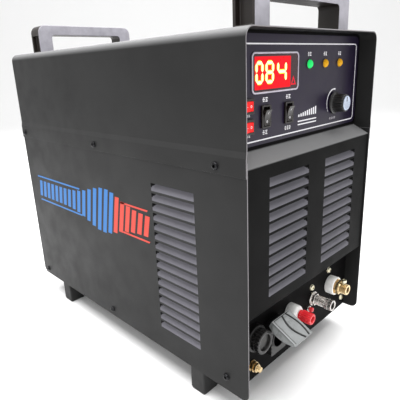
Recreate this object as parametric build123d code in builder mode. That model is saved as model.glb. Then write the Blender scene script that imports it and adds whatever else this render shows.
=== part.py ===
from build123d import *
import os
from math import cos, radians, sin

os.makedirs("parts", exist_ok=True)

# Plasma cutter power unit, millimetres. +Z is up, the front faces -Y and +X is to the
# right of someone standing in front. The origin is on the floor, under the cabinet's centre.

# ---------------------------------------------------------------- driving dimensions
CABINET_WIDTH = 320.0        # over the hood's lower strip
CABINET_DEPTH = 600.0
SHEET = 1.5                  # steel sheet of every panel
SKIRT_BOTTOM = 42.0          # lower edge of the side panels
HOOD_TOP = 519.0
SEAM_HEIGHT = 355.0          # lower edge of the hood on the side walls
STRIP_TOP = 378.0            # the hood steps inwards above this height
JOGGLE_TOP = 386.0
JOGGLE_DEPTH = 1.3
HOOD_BEND_RADIUS = 13.0
FRONT_RECESS = 26.0          # the control and terminal panels stand this far behind the front edge
LOUVRE_PANEL_SETBACK = 2.0
REAR_RECESS = 15.0
BAND_TOP = 377.5             # sloped band between the control panel and the front louvres
BAND_BOTTOM = 364.5
LOUVRE_PANEL_BOTTOM = 165.0
FOOT_HEIGHT = 44.0

SCREW_RADIUS = 2.0           # M4
SCREW_HOLE = 2.1
HEAD_RADIUS = 5.6
HEAD_HEIGHT = 3.4

LOUVRE_PITCH = 15.2
LOUVRE_HEIGHT = 11.5
LOUVRE_DEPTH = 7.0

HANDLE_LENGTH = 223.0
HANDLE_DEPTH = 34.0
HANDLE_HEIGHT = 54.5
HANDLE_BAR = 18.5
HANDLE_POST = 28.5

OVERLAY_THICKNESS = 0.3
TORCH_X, TORCH_Z = 98.5, 107.0
TRIGGER_X, TRIGGER_Z = 42.0, 104.0
PILOT_X, PILOT_Z = -25.0, 113.0
EARTH_X, EARTH_Z = -116.0, 113.0
GROUND_X, GROUND_Z = -118.0, 66.0
FUSE_X, FUSE_Z = 30.0, 90.0
AUX_X, AUX_Z = -72.0, 96.0
TORCH_NECK = 13.0            # radii of what passes through the terminal panel
TRIGGER_BARREL = 8.0
PILOT_NECK = 6.0
EARTH_NECK = 15.0
GROUND_STUD = 4.0
FUSE_BODY = 4.6
AUX_BODY = 18.0
HOLE_GAP = 0.1

DISPLAY_X, DISPLAY_Z = -67.5, 469.0
DISPLAY_WIDTH, DISPLAY_HEIGHT = 99.0, 48.0
METER_WIDTH, METER_HEIGHT = 80.0, 40.0
LAMP_NECK = 4.0
KNOB_BUSH = 5.0
ROCKER_BODY_WIDTH = 15.0
BEZEL_LONG, BEZEL_SHORT, BEZEL_PROUD = 28.0, 18.5, 3.0
RED_BEZEL_LONG = 25.0
BEZEL_LIP = 3.0              # how much longer a rocker's bezel is than its body
ROCKER_HALF_WIDTH, ROCKER_HALF_LENGTH = 5.8, 10.0
TRUNNION_RADIUS = 0.8
LAMP_Z = 476.5
LAMP_SPACING = 41.5
LAMP_FIRST_X = 9.5
GAS_TEST_X, LATCH_X, BLACK_ROCKER_Z = -90.0, -40.0, 417.0
POWER_X = -127.0
POWER_Z, MODE_Z = 432.0, 407.5
KNOB_X, KNOB_Z = 81.2, 419.0
ROCKER_TILT = 12.0

FAN_Z = 318.0
FAN_SIZE = 172.0
FAN_THICKNESS = 51.0
FAN_BORE = 80.0
FAN_SCREW_INSET = 10.0
GUARD_THICKNESS = 3.0
BREAKER_X, BREAKER_Z = -70.0, 160.0
BREAKER_WIDTH, BREAKER_HEIGHT = 54.0, 46.0
GLAND_X, GLAND_Z = 45.0, 130.0
GLAND_NECK = 16.0
INLET_X, INLET_Z = 105.0, 165.0
INLET_NECK = 7.0
SINK_TOP, SINK_HALF_WIDTH = 160.0, 95.0
SINK_FRONT, SINK_LENGTH = -60.0, 250.0
BRACKET = 3.0                # upright brackets that hold the heat sink

# ---------------------------------------------------------------- derived places
HALF_WIDTH = CABINET_WIDTH / 2
SIDE_OUTER = HALF_WIDTH - SHEET
SIDE_INNER = SIDE_OUTER - SHEET
HOOD_WALL = HALF_WIDTH - JOGGLE_DEPTH
FRONT = -CABINET_DEPTH / 2
REAR = CABINET_DEPTH / 2
PANEL_FACE = FRONT + FRONT_RECESS
PANEL_BACK = PANEL_FACE + SHEET
OVERLAY_FACE = PANEL_FACE - OVERLAY_THICKNESS
LOUVRE_FACE = FRONT + LOUVRE_PANEL_SETBACK
REAR_FACE = REAR - REAR_RECESS
REAR_INNER = REAR_FACE - SHEET
PAN_FLOOR = FOOT_HEIGHT + SHEET
HOOD_CEILING = HOOD_TOP - SHEET
CONTROL_BOTTOM = BAND_TOP + 1.8
TERMINAL_TOP = LOUVRE_PANEL_BOTTOM - 6.4
TERMINAL_BOTTOM = SKIRT_BOTTOM

SIDE_LOUVRE_Y = -166.7
SIDE_LOUVRE_WIDTH = 88.5
SIDE_LOUVRE_TOPS = [322.0 - LOUVRE_PITCH * i for i in range(16)]
FRONT_LOUVRE_X = 67.0
FRONT_LOUVRE_WIDTH = 90.0
FRONT_LOUVRE_TOPS = [346.5 - LOUVRE_PITCH * i for i in range(11)]

HOOD_SCREW_Z = 365.0
HOOD_SCREW_YS = [-253.0, 20.0, 288.0]
SKIRT_SCREWS = [(-261.0, 64.0), (20.0, 55.5), (280.0, 54.0)]
FOOT_CENTRES = [(x, y) for x in (-141.0, 141.0) for y in (-198.5, 205.5)]
FOOT_X, FOOT_Y = 32.0, 28.5
HANDLE_FRONT_Y = FRONT + 41.0
HANDLE_REAR_Y = REAR - 19.0
HANDLE_SCREW_X = (HANDLE_LENGTH - HANDLE_POST) / 2
HANDLE_SCREW_YS = [HANDLE_FRONT_Y, HANDLE_REAR_Y - 8.0]
HANDLE_SCREWS = [(side * HANDLE_SCREW_X, y) for side in (-1, 1) for y in HANDLE_SCREW_YS]
TERMINAL_SCREWS = [(94.0, 135.0), (40.0, 124.0), (-146.0, 138.0), (146.0, 60.0)]
PANEL_CORNER = 12.0


def front_plane(y):
    """Plane whose local x is +X and local y is +Z, facing the front."""
    return Plane(origin=(0, y, 0), x_dir=(1, 0, 0), z_dir=(0, -1, 0))


def rear_plane(y):
    """Plane whose local x is -X and local y is +Z, facing the rear."""
    return Plane(origin=(0, y, 0), x_dir=(-1, 0, 0), z_dir=(0, 1, 0))


def side_plane(side, x):
    """Plane facing outwards from one side wall: local x is +Y on the right, -Y on the left."""
    return Plane(origin=(side * x, 0, 0), x_dir=(0, side, 0), z_dir=(side, 0, 0))


def front_point(x, z, y):
    """Plane facing the front with its origin on an item's own axis."""
    return Plane(origin=(x, y, z), x_dir=(1, 0, 0), z_dir=(0, -1, 0))


def rear_point(x, z, y):
    """Plane facing the rear with its origin on an item's own axis."""
    return Plane(origin=(x, y, z), x_dir=(-1, 0, 0), z_dir=(0, 1, 0))


def ceiling_point(x, y):
    """Plane on the hood's ceiling that faces down."""
    return Plane(origin=(x, y, HOOD_CEILING), x_dir=(1, 0, 0), z_dir=(0, 0, -1))


# ---------------------------------------------------------------- cabinet

def make_base_pan():
    """Folded tray with flanges behind the four outer panels and two brackets for the heat sink."""
    wall_height, ground_clearance = 30.0, 6.0
    width = 2 * SIDE_INNER
    depth = REAR_INNER - PANEL_BACK
    middle_y = (REAR_INNER + PANEL_BACK) / 2
    floor_plane = Plane(origin=(0, middle_y, FOOT_HEIGHT))
    with BuildPart() as base_pan:
        with BuildSketch(floor_plane):
            Rectangle(width, depth)
        extrude(amount=wall_height)
        with BuildSketch(floor_plane.offset(SHEET)):
            Rectangle(width - 2 * SHEET, depth - 2 * SHEET)
        extrude(amount=wall_height, mode=Mode.SUBTRACT)
        with BuildSketch(Plane.XY.offset(FOOT_HEIGHT)):
            with Locations(*FOOT_CENTRES):
                Circle(SCREW_HOLE)
        extrude(amount=SHEET, mode=Mode.SUBTRACT)
        with BuildSketch(Plane.YZ):
            with Locations(*SKIRT_SCREWS):
                Circle(SCREW_HOLE)
        extrude(amount=HALF_WIDTH, both=True, mode=Mode.SUBTRACT)
        with BuildSketch(front_plane(SINK_FRONT)):
            for side in (-1, 1):
                with Locations((side * (SINK_HALF_WIDTH + BRACKET / 2), (FOOT_HEIGHT + SINK_TOP) / 2)):
                    Rectangle(BRACKET, SINK_TOP - FOOT_HEIGHT)
        extrude(amount=-SINK_LENGTH)
        with BuildSketch(front_plane(PANEL_BACK)):
            with Locations((GROUND_X, GROUND_Z)):
                Circle(ground_clearance)
            with Locations(TERMINAL_SCREWS[3]):
                Circle(SCREW_HOLE)
        extrude(amount=-SHEET, mode=Mode.SUBTRACT)
    base_pan.part.label = "base_pan"
    export_step(base_pan.part, "parts/base_pan.step")


def make_side_panel(side, label):
    """Louvred side wall; each louvre is cut along its top edge and pressed inwards."""
    lap = 5.0
    height = STRIP_TOP - lap - SKIRT_BOTTOM
    with BuildPart() as side_panel:
        with BuildSketch(side_plane(side, SIDE_INNER)) as outline:
            with Locations((0, SKIRT_BOTTOM + height / 2)):
                Rectangle(CABINET_DEPTH, height)
            fillet(outline.vertices().group_by(Axis.Z)[0], PANEL_CORNER)
            with Locations(*[(side * SIDE_LOUVRE_Y, z - LOUVRE_HEIGHT / 2) for z in SIDE_LOUVRE_TOPS]):
                Rectangle(SIDE_LOUVRE_WIDTH, LOUVRE_HEIGHT, mode=Mode.SUBTRACT)
            with Locations(*[(side * y, HOOD_SCREW_Z) for y in HOOD_SCREW_YS]):
                Circle(SCREW_HOLE, mode=Mode.SUBTRACT)
            with Locations(*[(side * y, z) for y, z in SKIRT_SCREWS]):
                Circle(SCREW_HOLE, mode=Mode.SUBTRACT)
        extrude(amount=SHEET)
        with BuildSketch(front_plane(SIDE_LOUVRE_Y - SIDE_LOUVRE_WIDTH / 2)):
            for top_edge in SIDE_LOUVRE_TOPS:
                Polygon(
                    (side * SIDE_OUTER, top_edge - LOUVRE_HEIGHT),
                    (side * (SIDE_OUTER - LOUVRE_DEPTH), top_edge),
                    (side * (SIDE_INNER - LOUVRE_DEPTH), top_edge),
                    (side * SIDE_INNER, top_edge - LOUVRE_HEIGHT),
                    align=None,
                )
        extrude(amount=-SIDE_LOUVRE_WIDTH)
    side_panel.part.label = label
    export_step(side_panel.part, f"parts/{label}.step")


def make_hood_cover():
    """Upper cover folded from one sheet: lower strip, small joggle, walls and top."""
    left_side = [
        (-HALF_WIDTH, SEAM_HEIGHT),
        (-HALF_WIDTH, STRIP_TOP),
        (-HOOD_WALL, JOGGLE_TOP),
        (-HOOD_WALL, HOOD_TOP),
    ]
    right_side = [(-x, z) for x, z in reversed(left_side)]
    joggle_radius = 4.0
    radii = [joggle_radius, joggle_radius, HOOD_BEND_RADIUS, HOOD_BEND_RADIUS, joggle_radius, joggle_radius]
    with BuildPart() as hood_cover:
        with BuildSketch(front_plane(FRONT)):
            with BuildLine():
                FilletPolyline(*left_side, *right_side, radius=radii)
                offset(amount=SHEET, side=Side.RIGHT)
            make_face()
        extrude(amount=-CABINET_DEPTH)
        with BuildSketch(Plane.YZ):
            with Locations(*[(y, HOOD_SCREW_Z) for y in HOOD_SCREW_YS]):
                Circle(SCREW_HOLE)
        extrude(amount=HALF_WIDTH, both=True, mode=Mode.SUBTRACT)
        with BuildSketch(Plane.XY.offset(HOOD_TOP)):
            with Locations(*HANDLE_SCREWS):
                Circle(SCREW_HOLE)
        extrude(amount=-SHEET, mode=Mode.SUBTRACT)
    hood_cover.part.label = "hood_cover"
    export_step(hood_cover.part, "parts/hood_cover.step")


def make_front_panel():
    """Lower front: a flange, the sloped band, two columns of louvres and the bottom return."""
    flange, return_rise, bend_radius = 14.0, 4.0, 2.2
    path = [
        (PANEL_BACK, BAND_TOP + flange),
        (PANEL_BACK, BAND_TOP),
        (LOUVRE_FACE, BAND_BOTTOM),
        (LOUVRE_FACE, LOUVRE_PANEL_BOTTOM),
        (PANEL_BACK, LOUVRE_PANEL_BOTTOM - return_rise),
        (PANEL_BACK, LOUVRE_PANEL_BOTTOM - return_rise - flange),
    ]
    columns = (-FRONT_LOUVRE_X, FRONT_LOUVRE_X)
    with BuildPart() as front_panel:
        with BuildSketch(Plane.YZ.offset(-SIDE_INNER)):
            with BuildLine():
                FilletPolyline(*path, radius=bend_radius)
                offset(amount=SHEET, side=Side.LEFT)
            make_face()
        extrude(amount=2 * SIDE_INNER)
        with BuildSketch(front_plane(LOUVRE_FACE)):
            with Locations(*[(x, z - LOUVRE_HEIGHT / 2) for x in columns for z in FRONT_LOUVRE_TOPS]):
                Rectangle(FRONT_LOUVRE_WIDTH, LOUVRE_HEIGHT)
        extrude(amount=-SHEET, mode=Mode.SUBTRACT)
        for x in columns:
            with BuildSketch(Plane.YZ.offset(x - FRONT_LOUVRE_WIDTH / 2)):
                for top_edge in FRONT_LOUVRE_TOPS:
                    Polygon(
                        (LOUVRE_FACE, top_edge - LOUVRE_HEIGHT),
                        (LOUVRE_FACE + LOUVRE_DEPTH, top_edge),
                        (LOUVRE_FACE + LOUVRE_DEPTH + SHEET, top_edge),
                        (LOUVRE_FACE + SHEET, top_edge - LOUVRE_HEIGHT),
                        align=None,
                    )
            extrude(amount=FRONT_LOUVRE_WIDTH)
    front_panel.part.label = "front_panel"
    export_step(front_panel.part, "parts/front_panel.step")


def make_terminal_panel():
    """Flat plate behind the bottom opening; it carries the output terminals."""
    with BuildPart() as terminal_panel:
        with BuildSketch(front_plane(PANEL_BACK)):
            with Locations((0, (TERMINAL_TOP + TERMINAL_BOTTOM) / 2)):
                Rectangle(2 * SIDE_INNER, TERMINAL_TOP - TERMINAL_BOTTOM)
            with Locations(*TERMINAL_SCREWS):
                Circle(SCREW_HOLE, mode=Mode.SUBTRACT)
            for x, z, radius in (
                (TORCH_X, TORCH_Z, TORCH_NECK),
                (TRIGGER_X, TRIGGER_Z, TRIGGER_BARREL),
                (PILOT_X, PILOT_Z, PILOT_NECK),
                (EARTH_X, EARTH_Z, EARTH_NECK),
                (GROUND_X, GROUND_Z, GROUND_STUD),
                (FUSE_X, FUSE_Z, FUSE_BODY),
                (AUX_X, AUX_Z, AUX_BODY),
            ):
                with Locations((x, z)):
                    Circle(radius + HOLE_GAP, mode=Mode.SUBTRACT)
        extrude(amount=SHEET)
    terminal_panel.part.label = "terminal_panel"
    export_step(terminal_panel.part, "parts/terminal_panel.step")


def make_control_panel():
    """Upright plate inside the hood with the openings for the meter, lamps, rockers and knob."""
    height = HOOD_CEILING - CONTROL_BOTTOM
    margin = 4.0
    lamp_places = [(LAMP_FIRST_X + LAMP_SPACING * i, LAMP_Z) for i in range(3)]
    with BuildPart() as control_panel:
        with BuildSketch(front_plane(PANEL_BACK)) as outline:
            with Locations((0, CONTROL_BOTTOM + height / 2)):
                Rectangle(2 * SIDE_INNER, height)
            fillet(outline.vertices().group_by(Axis.Z)[-1], PANEL_CORNER)
            control_openings(lamp_places)
        extrude(amount=SHEET)
    control_panel.part.label = "control_panel"
    export_step(control_panel.part, "parts/control_panel.step")
    with BuildPart() as control_overlay:
        with BuildSketch(front_plane(PANEL_FACE)):
            with Locations((0, CONTROL_BOTTOM + height / 2)):
                RectangleRounded(2 * (SIDE_INNER - margin), height - 2 * margin, PANEL_CORNER - margin / 2)
            control_openings(lamp_places)
        extrude(amount=OVERLAY_THICKNESS)
    control_overlay.part.label = "control_overlay"
    export_step(control_overlay.part, "parts/control_overlay.step")


def control_openings(lamp_places):
    """Cuts the control openings out of the sketch in progress."""
    play = 2 * HOLE_GAP
    black_length = BEZEL_LONG - BEZEL_LIP
    red_length = RED_BEZEL_LONG - BEZEL_LIP
    with Locations((DISPLAY_X, DISPLAY_Z)):
        Rectangle(METER_WIDTH + 2 * play, METER_HEIGHT + 2 * play, mode=Mode.SUBTRACT)
    with Locations(*lamp_places):
        Circle(LAMP_NECK + HOLE_GAP, mode=Mode.SUBTRACT)
    with Locations((GAS_TEST_X, BLACK_ROCKER_Z), (LATCH_X, BLACK_ROCKER_Z)):
        Rectangle(ROCKER_BODY_WIDTH + play, black_length + play, mode=Mode.SUBTRACT)
    with Locations((POWER_X, POWER_Z), (POWER_X, MODE_Z)):
        Rectangle(red_length + play, ROCKER_BODY_WIDTH + play, mode=Mode.SUBTRACT)
    with Locations((KNOB_X, KNOB_Z)):
        Circle(KNOB_BUSH + HOLE_GAP, mode=Mode.SUBTRACT)


def make_rear_panel():
    """Rear plate with the fan opening, the breaker window, the cable hole and the gas inlet hole."""
    height = HOOD_CEILING - SKIRT_BOTTOM
    half_pitch = FAN_SIZE / 2 - FAN_SCREW_INSET
    window_gap, fan_opening = 0.2, FAN_BORE - 2.0
    window_width = BREAKER_WIDTH + 2 * window_gap
    window_height = BREAKER_HEIGHT + 2 * window_gap
    fan_screws = [(x, FAN_Z + z) for x in (-half_pitch, half_pitch) for z in (-half_pitch, half_pitch)]
    with BuildPart() as rear_panel:
        with BuildSketch(rear_plane(REAR_INNER)) as outline:
            with Locations((0, SKIRT_BOTTOM + height / 2)):
                Rectangle(2 * SIDE_INNER, height)
            fillet(outline.vertices().group_by(Axis.Z)[-1], PANEL_CORNER)
            with Locations((0, FAN_Z)):
                Circle(fan_opening, mode=Mode.SUBTRACT)
            with Locations(*fan_screws):
                Circle(SCREW_HOLE, mode=Mode.SUBTRACT)
            with Locations((-BREAKER_X, BREAKER_Z)):
                Rectangle(window_width, window_height, mode=Mode.SUBTRACT)
            with Locations((-GLAND_X, GLAND_Z)):
                Circle(GLAND_NECK + HOLE_GAP, mode=Mode.SUBTRACT)
            with Locations((-INLET_X, INLET_Z)):
                Circle(INLET_NECK + HOLE_GAP, mode=Mode.SUBTRACT)
        extrude(amount=SHEET)
    rear_panel.part.label = "rear_panel"
    export_step(rear_panel.part, "parts/rear_panel.step")
    return fan_screws


def make_handle(centre_y, label):
    """Moulded carrying handle: two posts, a top bar and a pocket in each post's outer side."""
    outer_radius, inner_radius = 15.0, 6.0
    pocket_width, pocket_bottom, pocket_depth, pocket_corner, pocket_cover = 21.0, 21.5, 8.0, 2.0, 12.0
    screw_hole_depth = 14.0
    pocket_height = HANDLE_HEIGHT - pocket_bottom - pocket_cover
    gap_height = HANDLE_HEIGHT - HANDLE_BAR
    gap_width = HANDLE_LENGTH - 2 * HANDLE_POST
    with BuildPart() as handle:
        with BuildSketch(front_plane(centre_y + HANDLE_DEPTH / 2)) as profile:
            with Locations((0, HOOD_TOP + HANDLE_HEIGHT / 2)):
                Rectangle(HANDLE_LENGTH, HANDLE_HEIGHT)
            fillet(profile.vertices().group_by(Axis.Z)[-1], outer_radius)
            with Locations((0, HOOD_TOP + gap_height / 2)):
                Rectangle(gap_width, gap_height, mode=Mode.SUBTRACT)
            upright = profile.vertices().filter_by_position(Axis.X, -gap_width / 2, gap_width / 2)
            inner_corners = upright.filter_by_position(Axis.Z, HOOD_TOP + 1, HOOD_TOP + gap_height + 1)
            fillet(inner_corners, inner_radius)
        extrude(amount=HANDLE_DEPTH)
        for side in (-1, 1):
            with BuildSketch(side_plane(side, HANDLE_LENGTH / 2)):
                with Locations((side * centre_y, HOOD_TOP + pocket_bottom + pocket_height / 2)):
                    RectangleRounded(pocket_width, pocket_height, pocket_corner)
            extrude(amount=-pocket_depth, mode=Mode.SUBTRACT)
        with BuildSketch(Plane.XY.offset(HOOD_TOP)):
            with Locations(*[(x, y) for x, y in HANDLE_SCREWS if abs(y - centre_y) < HANDLE_DEPTH / 2]):
                Circle(SCREW_RADIUS)
        extrude(amount=screw_hole_depth, mode=Mode.SUBTRACT)
    handle.part.label = label
    export_step(handle.part, f"parts/{label}.step")


def make_feet():
    """Four rubber block feet with a blind hole for the screw from inside the pan."""
    corner_radius, hole_depth = 2.5, 18.0
    with BuildPart() as feet:
        with BuildSketch():
            with Locations(*FOOT_CENTRES):
                RectangleRounded(FOOT_X, FOOT_Y, corner_radius)
        extrude(amount=FOOT_HEIGHT)
        with BuildSketch(Plane.XY.offset(FOOT_HEIGHT)):
            with Locations(*FOOT_CENTRES):
                Circle(SCREW_RADIUS)
        extrude(amount=-hole_depth, mode=Mode.SUBTRACT)
    feet.part.label = "feet"
    export_step(feet.part, "parts/feet.step")


def screw_row(planes, length):
    """Adds one pan-head screw to the part in progress at each plane's origin, head outwards."""
    slot_length, slot_width, slot_depth = 4.6, 1.0, 1.4
    for plane in planes:
        with BuildSketch(plane) as head:
            Circle(HEAD_RADIUS)
        extrude(head.sketch, amount=HEAD_HEIGHT)
        with BuildSketch(plane) as shank:
            Circle(SCREW_RADIUS)
        extrude(shank.sketch, amount=-length)
        with BuildSketch(plane.offset(HEAD_HEIGHT)) as cross:
            Rectangle(slot_length, slot_width)
            Rectangle(slot_width, slot_length)
        extrude(cross.sketch, amount=-slot_depth, mode=Mode.SUBTRACT)


def make_fasteners(fan_screws):
    """Screw groups: short ones for the panels, middle ones for feet and handles, long ones for the fan."""
    short, middle, long = 10.0, 14.0, 30.0
    seats = [(side * HALF_WIDTH, y, HOOD_SCREW_Z) for side in (-1, 1) for y in HOOD_SCREW_YS]
    seats += [(side * SIDE_OUTER, y, z) for side in (-1, 1) for y, z in SKIRT_SCREWS]
    side_seats = [Plane(origin=seat, x_dir=(0, 1, 0), z_dir=(seat[0], 0, 0)) for seat in seats]
    terminal_seats = [front_point(x, z, PANEL_FACE) for x, z in TERMINAL_SCREWS]
    with BuildPart() as panel_screws:
        screw_row(side_seats + terminal_seats, short)
    panel_screws.part.label = "panel_screws"
    export_step(panel_screws.part, "parts/panel_screws.step")
    handle_seats = [ceiling_point(x, y) for x, y in HANDLE_SCREWS]
    foot_seats = [Plane(origin=(x, y, PAN_FLOOR)) for x, y in FOOT_CENTRES]
    with BuildPart() as mounting_screws:
        screw_row(handle_seats + foot_seats, middle)
    mounting_screws.part.label = "mounting_screws"
    export_step(mounting_screws.part, "parts/mounting_screws.step")
    with BuildPart() as fan_screws_part:
        screw_row([rear_point(-x, z, REAR_FACE + GUARD_THICKNESS) for x, z in fan_screws], long)
    fan_screws_part.part.label = "fan_screws"
    export_step(fan_screws_part.part, "parts/fan_screws.step")


# ---------------------------------------------------------------- front controls

def make_display():
    """Current meter: raised bezel ring, tinted window and the module behind the panel."""
    bezel_height, bezel_width, outer_corner, inner_corner = 1.5, 2.2, 6.0, 4.0
    window_thickness, module_depth, flange_margin, flange_depth = 1.0, 20.0, 3.0, 8.0
    window_width = DISPLAY_WIDTH - 2 * bezel_width
    window_height = DISPLAY_HEIGHT - 2 * bezel_width
    centre = front_point(DISPLAY_X, DISPLAY_Z, OVERLAY_FACE)
    with BuildPart() as display_bezel:
        with BuildSketch(centre):
            RectangleRounded(DISPLAY_WIDTH, DISPLAY_HEIGHT, outer_corner)
            RectangleRounded(window_width, window_height, inner_corner, mode=Mode.SUBTRACT)
        extrude(amount=bezel_height)
    display_bezel.part.label = "display_bezel"
    export_step(display_bezel.part, "parts/display_bezel.step")
    with BuildPart() as display_window:
        with BuildSketch(centre):
            RectangleRounded(window_width, window_height, inner_corner)
        extrude(amount=window_thickness)
    display_window.part.label = "display_window"
    export_step(display_window.part, "parts/display_window.step")
    with BuildPart() as display_module:
        with BuildSketch(centre):
            Rectangle(METER_WIDTH, METER_HEIGHT)
        extrude(amount=-module_depth)
        with BuildSketch(front_point(DISPLAY_X, DISPLAY_Z, PANEL_BACK)):
            Rectangle(METER_WIDTH + 2 * flange_margin, METER_HEIGHT + 2 * flange_margin)
            Rectangle(METER_WIDTH, METER_HEIGHT, mode=Mode.SUBTRACT)
        extrude(amount=-flange_depth)
    display_module.part.label = "display_module"
    export_step(display_module.part, "parts/display_module.step")


def make_lamps():
    """Three identical domed pilot lamps: one green and two amber."""
    dome_radius, dome_height, dome_round, neck_length = 6.2, 5.0, 4.2, 14.0
    with BuildPart() as pilot_lamps:
        for i in range(3):
            lamp_x = LAMP_FIRST_X + LAMP_SPACING * i
            with BuildSketch(front_point(lamp_x, LAMP_Z, OVERLAY_FACE)):
                Circle(dome_radius)
            extrude(amount=dome_height)
            with BuildSketch(front_point(lamp_x, LAMP_Z, OVERLAY_FACE)):
                Circle(LAMP_NECK)
            extrude(amount=-neck_length)
        rims = pilot_lamps.faces().filter_by(Axis.Y).group_by(Axis.Y)[0].edges()
        fillet(rims, dome_round)
    pilot_lamps.part.label = "pilot_lamps"
    export_step(pilot_lamps.part, "parts/pilot_lamps.step")


def rocker_plane(x, z, upright):
    """Plane on the overlay whose local x is the rocker's hinge axis."""
    hinge = (1, 0, 0) if upright else (0, 0, 1)
    return Plane(origin=(x, OVERLAY_FACE, z), x_dir=hinge, z_dir=(0, -1, 0))


def rocker_housing(plane, long_size):
    """Adds one snap-in rocker switch housing to the part in progress."""
    well_depth, body_depth, corner_radius = 8.0, 18.0, 1.5
    side_gap, end_wall, trunnion_gap, trunnion_reach = 0.35, 2.1, 0.08, 7.1
    with BuildSketch(plane) as bezel:
        RectangleRounded(BEZEL_SHORT, long_size, corner_radius)
    extrude(bezel.sketch, amount=BEZEL_PROUD)
    with BuildSketch(plane) as body:
        Rectangle(ROCKER_BODY_WIDTH, long_size - BEZEL_LIP)
    extrude(body.sketch, amount=-body_depth)
    with BuildSketch(plane.offset(BEZEL_PROUD)) as well:
        Rectangle(2 * (ROCKER_HALF_WIDTH + side_gap), long_size - 2 * end_wall)
    extrude(well.sketch, amount=-well_depth, mode=Mode.SUBTRACT)
    with BuildSketch(Plane(origin=plane.origin, x_dir=plane.y_dir, z_dir=plane.x_dir)) as pivot:
        Circle(TRUNNION_RADIUS + trunnion_gap)
    extrude(pivot.sketch, amount=trunnion_reach, both=True, mode=Mode.SUBTRACT)


def rocker_paddle(plane, half_length):
    """Adds one rocker, tilted to its first side, with a trunnion at each end of its axis."""
    end_height, middle_height, root, inset, trunnion_reach = 5.8, 4.0, 2.0, 2.0, 7.0
    tilt = radians(ROCKER_TILT)
    hinge_plane = Plane(origin=plane.origin, x_dir=plane.y_dir, z_dir=plane.x_dir)
    length_way = plane.y_dir * cos(tilt) + plane.z_dir * sin(tilt)
    tilted = Plane(origin=plane.origin, x_dir=length_way, z_dir=plane.x_dir)
    with BuildSketch(tilted) as section:
        Polygon((-half_length, end_height), (0, middle_height), (half_length, end_height),
                (half_length - inset, -root), (inset - half_length, -root), align=None)
    extrude(section.sketch, amount=ROCKER_HALF_WIDTH, both=True)
    with BuildSketch(hinge_plane) as trunnion:
        Circle(TRUNNION_RADIUS)
    extrude(trunnion.sketch, amount=trunnion_reach, both=True)


def make_rockers():
    """Four rocker switches: two upright black ones, and two red ones that lie on their side."""
    red_shortening = 1.5
    black_places = [(GAS_TEST_X, BLACK_ROCKER_Z), (LATCH_X, BLACK_ROCKER_Z)]
    red_places = [(POWER_X, POWER_Z), (POWER_X, MODE_Z)]
    with BuildPart() as switch_housings:
        for x, z in black_places:
            rocker_housing(rocker_plane(x, z, True), BEZEL_LONG)
        for x, z in red_places:
            rocker_housing(rocker_plane(x, z, False), RED_BEZEL_LONG)
    switch_housings.part.label = "switch_housings"
    export_step(switch_housings.part, "parts/switch_housings.step")
    names = ["gas_test_rocker", "latch_rocker"]
    for name, (x, z) in zip(names, black_places):
        with BuildPart() as rocker:
            rocker_paddle(rocker_plane(x, z, True), ROCKER_HALF_LENGTH)
        rocker.part.label = name
        export_step(rocker.part, f"parts/{name}.step")
    names = ["power_rocker", "mode_rocker"]
    for name, (x, z) in zip(names, red_places):
        with BuildPart() as rocker:
            rocker_paddle(rocker_plane(x, z, False), ROCKER_HALF_LENGTH - red_shortening)
        rocker.part.label = name
        export_step(rocker.part, f"parts/{name}.step")


def make_current_knob():
    """Potentiometer behind the panel, its shaft, the fluted knob and the knob's bright cap."""
    shaft_radius, shaft_gap, shaft_in, shaft_out = 3.0, 0.05, 9.5, 15.0
    can_radius, can_depth, bush_depth = 12.0, 13.0, 10.0
    knob_base, knob_top, skirt_radius, skirt_height = 1.2, 21.0, 16.0, 3.0
    grip_radius, grip_taper, flutes, flute_circle, flute_radius = 13.6, 3, 18, 13.9, 0.9
    cap_radius, cap_height = 10.5, 1.0
    with BuildPart() as potentiometer:
        with BuildSketch(front_point(KNOB_X, KNOB_Z, PANEL_BACK)):
            Circle(can_radius)
        extrude(amount=-can_depth)
        with BuildSketch(front_point(KNOB_X, KNOB_Z, PANEL_BACK)):
            Circle(KNOB_BUSH)
        extrude(amount=SHEET + OVERLAY_THICKNESS)
        with BuildSketch(front_point(KNOB_X, KNOB_Z, OVERLAY_FACE)):
            Circle(shaft_radius + shaft_gap)
        extrude(amount=-bush_depth, mode=Mode.SUBTRACT)
    potentiometer.part.label = "potentiometer"
    export_step(potentiometer.part, "parts/potentiometer.step")
    with BuildPart() as knob_shaft:
        with BuildSketch(front_point(KNOB_X, KNOB_Z, OVERLAY_FACE + shaft_in)):
            Circle(shaft_radius)
        extrude(amount=shaft_in + shaft_out)
    knob_shaft.part.label = "knob_shaft"
    export_step(knob_shaft.part, "parts/knob_shaft.step")
    with BuildPart() as current_knob:
        with BuildSketch(front_point(KNOB_X, KNOB_Z, OVERLAY_FACE - knob_base)):
            Circle(skirt_radius)
        extrude(amount=skirt_height)
        with BuildSketch(front_point(KNOB_X, KNOB_Z, OVERLAY_FACE - knob_base - skirt_height)):
            Circle(grip_radius)
            with PolarLocations(flute_circle, flutes):
                Circle(flute_radius, mode=Mode.SUBTRACT)
        extrude(amount=knob_top - knob_base - skirt_height, taper=grip_taper)
        with BuildSketch(front_point(KNOB_X, KNOB_Z, OVERLAY_FACE - knob_base)):
            Circle(shaft_radius)
        extrude(amount=shaft_out - knob_base, mode=Mode.SUBTRACT)
    current_knob.part.label = "current_knob"
    export_step(current_knob.part, "parts/current_knob.step")
    with BuildPart() as knob_cap:
        with BuildSketch(front_point(KNOB_X, KNOB_Z, OVERLAY_FACE - knob_top)):
            Circle(cap_radius)
        extrude(amount=cap_height)
    knob_cap.part.label = "knob_cap"
    export_step(knob_cap.part, "parts/knob_cap.step")


# ---------------------------------------------------------------- output terminals

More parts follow.
